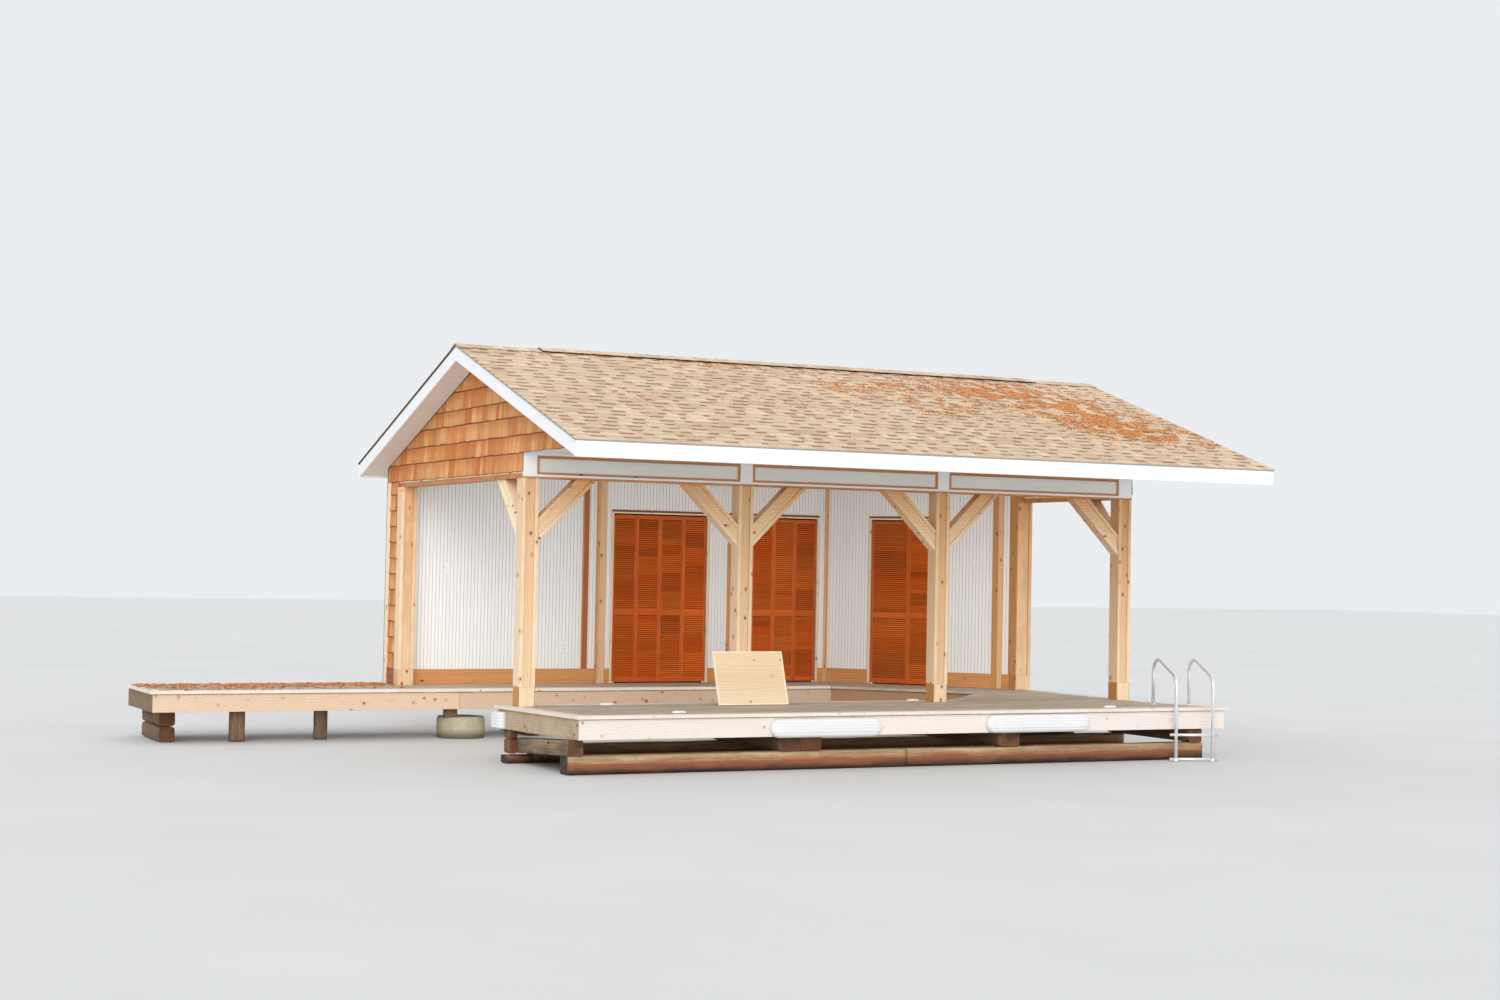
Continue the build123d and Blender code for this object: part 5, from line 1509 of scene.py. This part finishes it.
caps(VX0, VX1, 14.5, 144.0)
caps(RX0 - ROOF_EDGE, VX0 - 2, 0.3, 150.0)
caps(VX1 + 2, RX1 + ROOF_EDGE, 0.3, 150.0)
S.make("ridge_caps", [roof_top, dark_vent], ["ridge_vent"])

# ------------------------------------------------------------------ fascias, rake boards and soffits
S = Shape()
zt, zb = EAVE_TOP - DECK_V, EAVE_TOP - DECK_V - FASCIA_H
for y0, y1 in ((EAVE_F, EAVE_F + FASCIA_T), (EAVE_B - FASCIA_T, EAVE_B)):
    for a, b in ((RX0, 2420), (2421.5, 5170), (5171.5, RX1)):
        box(S, a, b, y0, y1, zb, zt, "x", 2.5, tone(0.5, 0.985, 1.01))
    lip = y0 - 0.0 if y0 < 0 else y1
S.make("eave_fascia_boards", [white_trim], ["eave_fascias"])

S = Shape()
for x0 in (RX0, RX1 - FASCIA_T):
    for ya_, yk in ((EAVE_F + FASCIA_T + 0.5, RIDGE_Y - 0.5), (EAVE_B - FASCIA_T - 0.5, RIDGE_Y + 0.5)):
        ym = ya_ + (yk - ya_) * 0.62
        for a, b in ((ya_, ym - 0.7), (ym + 0.7, yk)):
            quad(S, (x0, a, roof_z(a, DECK_V + FASCIA_H)), (x0, b, roof_z(b, DECK_V + FASCIA_H)), (x0, a, roof_z(a, DECK_V)), (x0, b, roof_z(b, DECK_V)), (FASCIA_T, 0, 0), 2.5, tone(0.5, 0.985, 1.01))
S.make("rake_fascia_boards", [white_trim], ["rake_boards"])

S = Shape()
# ribbed panels under the gable overhangs; the ribs run across the overhang
for x0, x1 in ((RX0 + FASCIA_T, -CLAD), (FRONT + CLAD, RX1 - FASCIA_T)):
    for sgn, ye in ((1, EAVE_F + FASCIA_T), (-1, EAVE_B - FASCIA_T)):
        L = abs(RIDGE_Y - ye)
        n = int(L / 64)
        for k in range(n):
            a, b = ye + sgn * L * k / n + sgn * 1.2, ye + sgn * L * (k + 1) / n - sgn * 1.2
            quad(S, (x0, a, roof_z(a, SH)), (x1, a, roof_z(a, SH)), (x0, b, roof_z(b, SH)), (x1, b, roof_z(b, SH)), (0, 0, SOFFIT_V - 2.0), 2.4, tone(0.5, 0.98, 1.01))
        quad(S, (x0, ye, roof_z(ye, UNDER + 2)), (x0, RIDGE_Y, roof_z(RIDGE_Y, UNDER + 2)), (x1, ye, roof_z(ye, UNDER + 2)), (x1, RIDGE_Y, roof_z(RIDGE_Y, UNDER + 2)), (0, 0, 2.0), 0.0, tone(0.5, 0.9, 0.92))
S.make("rake_soffit_panels", [soffit_grey], ["rake_soffits"])

S = Shape()
ys = EAVE_F + FASCIA_T
n = round(FRONT / 76.0)
w = FRONT / n
for k in range(n):
    a, b = k * w + 1.1, (k + 1) * w - 1.1
    quad(S, (a, ys, roof_z(ys, SH)), (a, YF2, CEIL_Z), (b, ys, roof_z(ys, SH)), (b, YF2, CEIL_Z), (0, 0, 10.0), 2.2, tone(0.5, 0.985, 1.01))
    box(S, a, b, YF2 + 0.5, -0.5, CEIL_Z, CEIL_Z + 10, "y", 2.2, tone(0.5, 0.985, 1.01))
box(S, 0, FRONT, YF2 + 60, -0.5, CEIL_Z + 10, LID_Z, "x", 0.0, tone(0.5, 0.9, 0.92))
n = round((FRONT + 2 * CLAD) / 76.0)
w = (FRONT + 2 * CLAD) / n
for k in range(n):
    a, b = -CLAD + k * w + 1.1, -CLAD + (k + 1) * w - 1.1
    yk = EAVE_B - FASCIA_T
    quad(S, (a, WALL_B + 0.5, roof_z(WALL_B, SH)), (a, yk, roof_z(yk, SH)), (b, WALL_B + 0.5, roof_z(WALL_B, SH)), (b, yk, roof_z(yk, SH)), (0, 0, 11.0), 2.2, tone(0.5, 0.985, 1.01))
S.make("eave_soffit_panels", [soffit_grey], ["eave_soffits"])

S = Shape()
n = round((FRONT - 180) / 76.0)
w = (FRONT - 180) / n
y_flat_b = EAVE_B - (CEIL_Z - (EAVE_TOP - UNDER)) / SLOPE
for k in range(n):
    a, b = 90 + k * w + 1.1, 90 + (k + 1) * w - 1.1
    box(S, a, b, 0.5, 2210, CEIL_Z, CEIL_Z + 10, "y", 2.2, tone(0.5, 0.985, 1.01))
    box(S, a, b, 2211, y_flat_b - 40, CEIL_Z, CEIL_Z + 10, "y", 2.2, tone(0.5, 0.985, 1.01))
S.make("ceiling_panels", [soffit_grey], ["ceiling"])

# ------------------------------------------------------------------ bumpers, lights, sign, ladder


def bumper(S, x0, x1, yface, depth, zc, hz, ribs=3):
    """long moulded pad with rounded ends and grooves along it"""
    V, F, G = [], [], []
    nx, ns = 64, 40
    cap = hz
    xs_ = []
    for i in range(nx + 1):
        t = i / nx
        if t < 0.25:
            q = t / 0.25
            xs_.append(x0 + cap * (1 - math.cos(q * math.pi / 2)))
        elif t > 0.75:
            q = (1 - t) / 0.25
            xs_.append(x1 - cap * (1 - math.cos(q * math.pi / 2)))
        else:
            q = (t - 0.25) / 0.5
            xs_.append(x0 + cap + (x1 - x0 - 2 * cap) * q)
    for x in xs_:
        d = max(0.0, 1 - ((x0 + cap - x) / cap) ** 2) if x < x0 + cap else (max(0.0, 1 - ((x - (x1 - cap)) / cap) ** 2) if x > x1 - cap else 1.0)
        h = hz * math.sqrt(max(d, 0.0004))
        dep = depth * (0.30 + 0.70 * d ** 0.35)
        for k in range(ns):
            t = k / (ns - 1)
            a = -math.pi / 2 + math.pi * t
            c, s = math.cos(a), math.sin(a)
            yy = dep * abs(c) ** 0.55
            zz = h * (abs(s) ** 0.75) * (1 if s >= 0 else -1)
            if d > 0.4:
                for gz in (-0.52, -0.17, 0.17, 0.52):
                    yy -= 8.0 * math.exp(-((zz / hz - gz) / 0.05) ** 2)
            V.append((x, yface - yy, zc + zz))
            G.append((x / 1000, t * 0.3, 0.0))
    for i in range(nx):
        for k in range(ns - 1):
            F.append((i * ns + k, (i + 1) * ns + k, (i + 1) * ns + k + 1, i * ns + k + 1))
        F.append((i * ns, i * ns + ns - 1, (i + 1) * ns + ns - 1, (i + 1) * ns))
    F.append(tuple(range(ns)))
    F.append(tuple(nx * ns + k for k in reversed(range(ns))))
    F = [f[::-1] for f in F]
    V = np.array(V)
    f0 = F[(nx // 2) * ns + ns // 2]
    nrm = np.cross(V[f0[1]] - V[f0[0]], V[f0[2]] - V[f0[0]])
    if nrm[1] > 0:
        F = [f[::-1] for f in F]
    S.add(V, F, G, (0.5, 1.0, 0.5, 1.0), 0, True)
    # screw plugs
    for q in (0.12, 0.37, 0.63, 0.88):
        disc(S, (x0 + (x1 - x0) * q, yface - depth + 1.0, zc), (0, -1, 0), 7.0, 3.0, 1)


def disc(S, c, nrm, rad, h, mat=0, n=14):
    c, nrm = np.asarray(c, float), np.asarray(nrm, float)
    u = np.cross(nrm, (0.31, 0.2, 1.0))
    u /= np.linalg.norm(u)
    v = np.cross(nrm, u)
    V = []
    for z, rr in ((0, rad), (h * 0.7, rad), (h, rad * 0.7)):
        for k in range(n):
            a = 2 * math.pi * k / n
            V.append(c + nrm * z + (u * math.cos(a) + v * math.sin(a)) * rr)
    F = []
    for j in range(2):
        for k in range(n):
            k2 = (k + 1) % n
            F.append((j * n + k, j * n + k2, (j + 1) * n + k2, (j + 1) * n + k))
    F.append(tuple(2 * n + k for k in range(n)))
    F.append(tuple(reversed(range(n))))
    S.add(V, F, None, (0.5, 0.92, 0.5, 1.0), mat, False)


S = Shape()
for x0, x1, zc in ((2161, 3431, -150), (4716, 6015, -142)):
    bumper(S, x0, x1, DOCK_FL[1] + NOSING - 0.5, 83.0, zc, 96.0)
# corner pad: an L of ribbed vinyl round the back-left corner
p0, p1 = o_r[0], o_r[9]
q = (p1[0] + (p0[0] - p1[0]) * 0.115, p1[1] + (p0[1] - p1[1]) * 0.115)
path = [(p1[0] + 150, p1[1]), (p1[0] + 30, p1[1]), (p1[0], p1[1]), (p1[0], p1[1]), q]
V, F, G = [], [], []
outer = [(p1[0] + 150, p1[1] + 62), (p1[0] + 100, p1[1] + 68), (p1[0] + 20, p1[1] + 68), (p1[0] - 30, p1[1] + 64), (p1[0] - 62, p1[1] + 46), (p1[0] - 74, p1[1] + 12), (p1[0] - 78, p1[1] - 60), (q[0] - 78, q[1] + 60), (q[0] - 70, q[1])]
inner_ = [(p1[0] + 150, p1[1] + 1), (p1[0] + 100, p1[1] + 1), (p1[0] + 20, p1[1] + 1), (p1[0] - 1, p1[1] + 1), (p1[0] - 1, p1[1]), (p1[0] - 1, p1[1] - 10), (p1[0] + (q[0] - p1[0]) * 0.3, p1[1] - 60), (q[0] + (p1[0] - q[0]) * 0.3, q[1] + 60), (q[0] - 1, q[1])]
nzr = 30
za, zb_ = -233.0, -60.0
for i in range(nzr + 1):
    t = i / nzr
    e = abs(2 * t - 1)
    sh_ = 1.0 - 0.5 * max(0.0, (e - 0.8) / 0.2) ** 2
    rb = 1.0
    for gz in (0.2, 0.4, 0.6, 0.8):
        rb -= 0.07 * math.exp(-((t - gz) / 0.025) ** 2)
    z = za + (zb_ - za) * t
    for o, n_ in zip(outer, inner_):
        V.append((n_[0] + (o[0] - n_[0]) * sh_ * rb, n_[1] + (o[1] - n_[1]) * sh_ * rb, z))
        G.append((z / 1000, len(V) % 9 * 0.02, 0))
    for n_ in inner_:
        V.append((n_[0], n_[1], z))
        G.append((z / 1000, 0, 0))
m_ = len(outer)
for i in range(nzr):
    b0, b1 = i * 2 * m_, (i + 1) * 2 * m_
    for k in range(m_ - 1):
        F.append((b0 + k, b0 + k + 1, b1 + k + 1, b1 + k))
        F.append((b0 + m_ + k + 1, b0 + m_ + k, b1 + m_ + k, b1 + m_ + k + 1))
    F.append((b0, b1, b1 + m_, b0 + m_))
    F.append((b0 + m_ - 1, b0 + 2 * m_ - 1, b1 + 2 * m_ - 1, b1 + m_ - 1))
for k in range(m_ - 1):
    F.append((k, m_ + k, m_ + k + 1, k + 1))
    b1 = nzr * 2 * m_
    F.append((b1 + k, b1 + k + 1, b1 + m_ + k + 1, b1 + m_ + k))
V = np.array(V)
f0 = F[0]
nrm = np.cross(V[f0[1]] - V[f0[0]], V[f0[2]] - V[f0[0]])
if nrm[1] < 0:
    F = [f[::-1] for f in F]
S.add(V, F, G, (0.5, 1.0, 0.5, 1.0), 0, True)
S.make("vinyl_bumpers", [vinyl, plastic], ["dock_bumpers"])

S = Shape()
for x, y in ((1041, 150), (1274, -1150), (4799, 245), (6452, -1200)):
    V, F = [], []
    nr, nl = 36, 9
    for j in range(nl):
        t = j / (nl - 1)
        if j == 0:
            f, z = 1.0, 0.0
        else:
            a = (t) * math.pi / 2
            f, z = max(0.02, math.cos(a) ** 0.5) * 0.98, 6.0 + 15.0 * math.sin(a)
        for k in range(nr):
            an = 2 * math.pi * k / nr
            V.append((x + 81 * f * math.cos(an), y + 42 * f * math.sin(an), z))
    for j in range(nl - 1):
        for k in range(nr):
            k2 = (k + 1) % nr
            F.append((j * nr + k, j * nr + k2, (j + 1) * nr + k2, (j + 1) * nr + k))
    F.append(tuple(reversed(range(nr))))
    F.append(tuple((nl - 1) * nr + k for k in range(nr)))
    S.add(V, F, None, (0.5, 1.0, 0.5, 1.0), 0, True)
S.make("deck_light_domes", [plastic], ["deck_lights"])

# sign board
SW, SHT, ST = 825.0, 590.0, 24.0
SX, SY = 2165.0, -215.0
lean = math.asin(190.0 / SHT)
e_up = np.array([0, math.sin(lean), math.cos(lean)])
e_in = np.array([0, math.cos(lean), -math.sin(lean)])
o_s = np.array([SX, SY, ST * math.sin(lean)])
S = Shape()


def sign_piece(x0, x1, h0, h1, d0, d1, tint, r=2.0, al="s"):
    a = o_s + np.array([x0, 0, 0]) + e_up * h0 + e_in * d0
    if al == "s":
        quad(S, a, a + np.array([x1 - x0, 0, 0]), a + e_up * (h1 - h0), a + np.array([x1 - x0, 0, 0]) + e_up * (h1 - h0), e_in * (d1 - d0), r, tint)
    else:
        quad(S, a, a + e_up * (h1 - h0), a + np.array([x1 - x0, 0, 0]), a + np.array([x1 - x0, 0, 0]) + e_up * (h1 - h0), e_in * (d1 - d0), r, tint)


for k in range(4):
    sign_piece(16, SW - 16, 16 + (SHT - 32) * k / 4 + 0.2, 16 + (SHT - 32) * (k + 1) / 4 - 0.2, 5, ST - 2, tone(rng.uniform(0.35, 0.75), 0.95, 1.0), 1.0)
sign_piece(0, SW, 0, 15.5, 0, ST, tone(0.0, 1.06, 1.08), 2.5)
sign_piece(0, SW, SHT - 15.5, SHT, 0, ST, tone(0.0, 1.06, 1.08), 2.5)
sign_piece(0, 15.5, 16, SHT - 16, 0, ST, tone(0.0, 1.06, 1.08), 2.5, "z")
sign_piece(SW - 15.5, SW, 16, SHT - 16, 0, ST, tone(0.0, 1.06, 1.08), 2.5, "z")
S.make("bare_sign_board", [sign_wood], ["sign_board"])

# ladder


def fillet(points, radii, n=10):
    pts = [np.asarray(p, float) for p in points]
    out = [pts[0]]
    for i in range(1, len(pts) - 1):
        a, b, c = pts[i - 1], pts[i], pts[i + 1]
        u, v = (a - b) / np.linalg.norm(a - b), (c - b) / np.linalg.norm(c - b)
        ang = math.acos(np.clip(u @ v, -1, 1))
        t = radii[i - 1] / math.tan(ang / 2)
        p, q_ = b + u * t, b + v * t
        cc = b + (u + v) / np.linalg.norm(u + v) * (radii[i - 1] / math.sin(ang / 2))
        for k in range(n + 1):
            f = k / n
            th = math.pi - ang
            w0 = math.sin((1 - f) * th) / math.sin(th)
            w1 = math.sin(f * th) / math.sin(th)
            out.append(cc + (p - cc) * w0 + (q_ - cc) * w1)
    out.append(pts[-1])
    return out


def tube(S, pts, rad, mat=0, n=18, tint=(0.5, 1.0, 0.5, 1.0)):
    pts = [np.asarray(p, float) for p in pts]
    V, F, G = [], [], []
    ref = None
    run = 0.0
    for i, p in enumerate(pts):
        d = (pts[min(i + 1, len(pts) - 1)] - pts[max(i - 1, 0)])
        d /= np.linalg.norm(d)
        if ref is None:
            ref = np.cross(d, (0.13, 0.41, 0.9))
            ref /= np.linalg.norm(ref)
        ref = ref - d * (ref @ d)
        ref /= np.linalg.norm(ref)
        v = np.cross(d, ref)
        if i:
            run += np.linalg.norm(p - pts[i - 1])
        for k in range(n):
            a = 2 * math.pi * k / n
            V.append(p + (ref * math.cos(a) + v * math.sin(a)) * rad)
            G.append((run / 1000, k / n * rad * 6.28 / 1000, 0))
    for i in range(len(pts) - 1):
        for k in range(n):
            k2 = (k + 1) % n
            F.append((i * n + k, i * n + k2, (i + 1) * n + k2, (i + 1) * n + k))
    F.append(tuple(reversed(range(n))))
    F.append(tuple((len(pts) - 1) * n + k for k in range(n)))
    S.add(V, F, G, tint, mat, True)


LP = np.array([7124.0, -1500.0, 0.0])
LA = math.radians(16.2)
LU = np.array([math.cos(LA), -math.sin(LA), 0])
LV = np.array([math.sin(LA), math.cos(LA), 0])
LW, LD = 425.0, 722.0
S = Shape()
for kk in (0.0, LW):
    o = LP + LU * kk
    prof = fillet([(LD, 6.0), (LD, 575.0), (0.0, 335.0), (0.0, BASE_Z + 12)], [165.0, 165.0], 16)
    tube(S, [o + LV * q_[0] + np.array([0, 0, q_[1]]) for q_ in prof], 19.0)
    # foot plate on the deck, rubber tip below
    disc(S, o + LV * LD + np.array([0, 0, 0.2]), (0, 0, 1), 42.0, 7.0, 0, 24)
    tube(S, [o + np.array([0, 0, BASE_Z + 0.5]), o + np.array([0, 0, BASE_Z + 30])], 21.0, 1)
for z in (-555.0, -290.0):
    o = LP + np.array([0, 0, z])
    tube(S, [o - LU * 66, o + LU * (LW + 80)], 15.0)
    for e_, s_ in ((-68.0, 1), (LW + 76, 1)):
        tube(S, [o + LU * e_, o + LU * (e_ + 6)], 16.0, 1)
S.make("ladder_tubes", [aluminium, plastic], ["swim_ladder"])

# ------------------------------------------------------------------ fallen needles and leaves


def flake(S, p, nrm, ln, wd, th, tint, curl=0.0):
    """thin closed leaf: a lens of six corners"""
    nrm = np.asarray(nrm, float)
    a = rng.uniform(0, 2 * math.pi)
    u = np.cross(nrm, (1.0, 0.1, 0.0))
    u /= np.linalg.norm(u)
    v = np.cross(nrm, u)
    d = u * math.cos(a) + v * math.sin(a)
    s = np.cross(nrm, d)
    p = np.asarray(p, float) + nrm * 0.3
    V = [p - d * ln / 2 + nrm * curl, p + s * wd / 2 + d * ln * 0.05, p + d * ln / 2 + nrm * curl, p - s * wd / 2 + d * ln * 0.05, p + nrm * th]
    F = [(0, 3, 2, 1), (0, 1, 4), (1, 2, 4), (2, 3, 4), (3, 0, 4)]
    if np.cross(V[1] - V[0], V[4] - V[0]) @ nrm < 0:
        F = [f[::-1] for f in F]
    S.add(V, F, None, tint, 0)


S = Shape()
nrm = np.array([0.0, -S_A, C_A])


def patch(n, cx, cs, sx, ss, rot=0.0, lo=14.0, hi=46.0):
    for _ in range(n):
        a, b = rng.gauss(0, 1), rng.gauss(0, 1)
        x = cx + a * sx + b * rot
        s = cs + b * ss
        if not (RX0 + 10 < x < RX1 - 10 and 20 < s < LS - 165):
            continue
        if noise.noise(Vector((x / 230.0, s / 150.0, 3.3))) + 0.5 * noise.noise(Vector((x / 70.0, s / 60.0, 1.3))) < -0.08:
            continue
        k = (s % (LS / 26)) / (LS / 26)
        p = PF(s, x, 0.4 - 4.4 * k)
        ln = rng.uniform(lo, hi)
        flake(S, p, nrm, ln, ln * rng.uniform(0.25, 0.5), rng.uniform(2.0, 5.0), (rng.random(), rng.uniform(0.85, 1.15), 0.5, 1.0), rng.uniform(0, 4.0))


patch(5600, 6773, 1873, 400, 430, 60, 20, 60)
patch(5200, 6440, 2632, 420, 420, -60, 20, 60)
patch(3400, 7180, 1330, 380, 250, -60, 20, 58)
patch(2600, 5802, 2841, 330, 260, -80, 18, 54)
patch(1700, 4840, 2100, 330, 300, 60, 16, 50)
patch(700, 4781, 2973, 150, 110, 0, 16, 50)
patch(1000, 4060, 2735, 230, 170, 0, 16, 50)
patch(600, 3305, 1890, 230, 170, 0, 16, 46)
patch(900, 5100, 3420, 1500, 90, 0)
patch(500, 2800, 3420, 1100, 80, 0)
patch(420, 3800, 2500, 1500, 500)
patch(180, 2240, 1850, 240, 260)
patch(180, 1120, 1650, 220, 260)
patch(320, 5200, 1100, 1200, 600)
S.make("roof_needles", [needles])

S = Shape()
for _ in range(1500):
    x = rng.uniform(WALK_X0 + 30, -60)
    y = SLIP_Y1 + 330 + abs(rng.gauss(0, 1)) * 420
    y = DECK_BACK - abs(DECK_BACK - y) if y > DECK_BACK else y
    y = max(SLIP_Y1 + 60, DECK_BACK - abs(rng.gauss(0, 1)) * 430 * (1.25 if x < -1500 else 0.9))
    if y > DECK_BACK - 8:
        continue
    ln = rng.uniform(28, 78)
    flake(S, (x, y, 0.2), (0, 0, 1), ln, ln * rng.uniform(0.5, 0.85), rng.uniform(4.0, 14.0), (rng.random(), rng.uniform(0.75, 1.1), 0.5, 1.0), rng.uniform(0, 9.0))
for _ in range(26):
    x, y = rng.uniform(200, 7300), rng.uniform(-1250, 200)
    ln = rng.uniform(20, 45)
    flake(S, (x, y, 0.2), (0, 0, 1), ln, ln * 0.6, 6.0, (rng.random(), rng.uniform(0.75, 1.1), 0.5, 1.0), 3.0)
S.make("walk_leaves", [needles])

# ------------------------------------------------------------------ floor and light
me = bpy.data.meshes.new("floor")
R = 90.0
me.from_pydata([(-R, -R, -0.002), (R, -R, -0.002), (R, R, -0.002), (-R, R, -0.002)], [], [(0, 1, 2, 3)])
floor = bpy.data.objects.new("floor", me)
bpy.context.scene.collection.objects.link(floor)
M = Mat("floor_plaster", rough=0.85, spec=0.15)
n = M.noise(M.obj(), 0.4, 3.0, 0.5)
M.color(M.mix(M.span(n, 0.0, 1.0), (0.74, 0.74, 0.735, 1), (0.70, 0.70, 0.695, 1)))
me.materials.append(M.m)

world = bpy.data.worlds.new("world")
bpy.context.scene.world = world
world.use_nodes = True
bg = world.node_tree.nodes["Background"]
bg.inputs[0].default_value = (0.94, 0.97, 1.0, 1)
bg.inputs[1].default_value = 0.88

sun_data = bpy.data.lights.new("key", "SUN")
sun_data.energy = 0.8
sun_data.angle = math.radians(35)
sun_data.color = (1.0, 0.975, 0.94)
sun = bpy.data.objects.new("key", sun_data)
bpy.context.scene.collection.objects.link(sun)
sun.rotation_euler = Vector((0.50, 0.80, -0.62)).to_track_quat("-Z", "Y").to_euler()

low_data = bpy.data.lights.new("low_fill", "SUN")
low_data.energy = 1.45
low_data.angle = math.radians(50)
low_data.color = (1.0, 0.985, 0.965)
low = bpy.data.objects.new("low_fill", low_data)
bpy.context.scene.collection.objects.link(low)
low.rotation_euler = Vector((0.38, 1.0, -0.08)).to_track_quat("-Z", "Y").to_euler()

inner_data = bpy.data.lights.new("inner", "AREA")
inner_data.shape = "RECTANGLE"
inner_data.size, inner_data.size_y = 7.0, 1.5
inner_data.energy = 30.0
inner_data.color = (1.0, 0.99, 0.97)
inner = bpy.data.objects.new("inner", inner_data)
bpy.context.scene.collection.objects.link(inner)
inner.location = ((3700 + OX) / 1000, (600 + OY) / 1000, (1250 + OZ) / 1000)
inner.rotation_euler = Vector((0.0, 1.0, 0.06)).to_track_quat("-Z", "Y").to_euler()
inner.visible_camera = False

bpy.context.scene.view_settings.view_transform = "Standard"
bpy.context.scene.view_settings.look = "None"
bpy.context.scene.view_settings.exposure = 0.0
bpy.context.scene.view_settings.gamma = 1.0
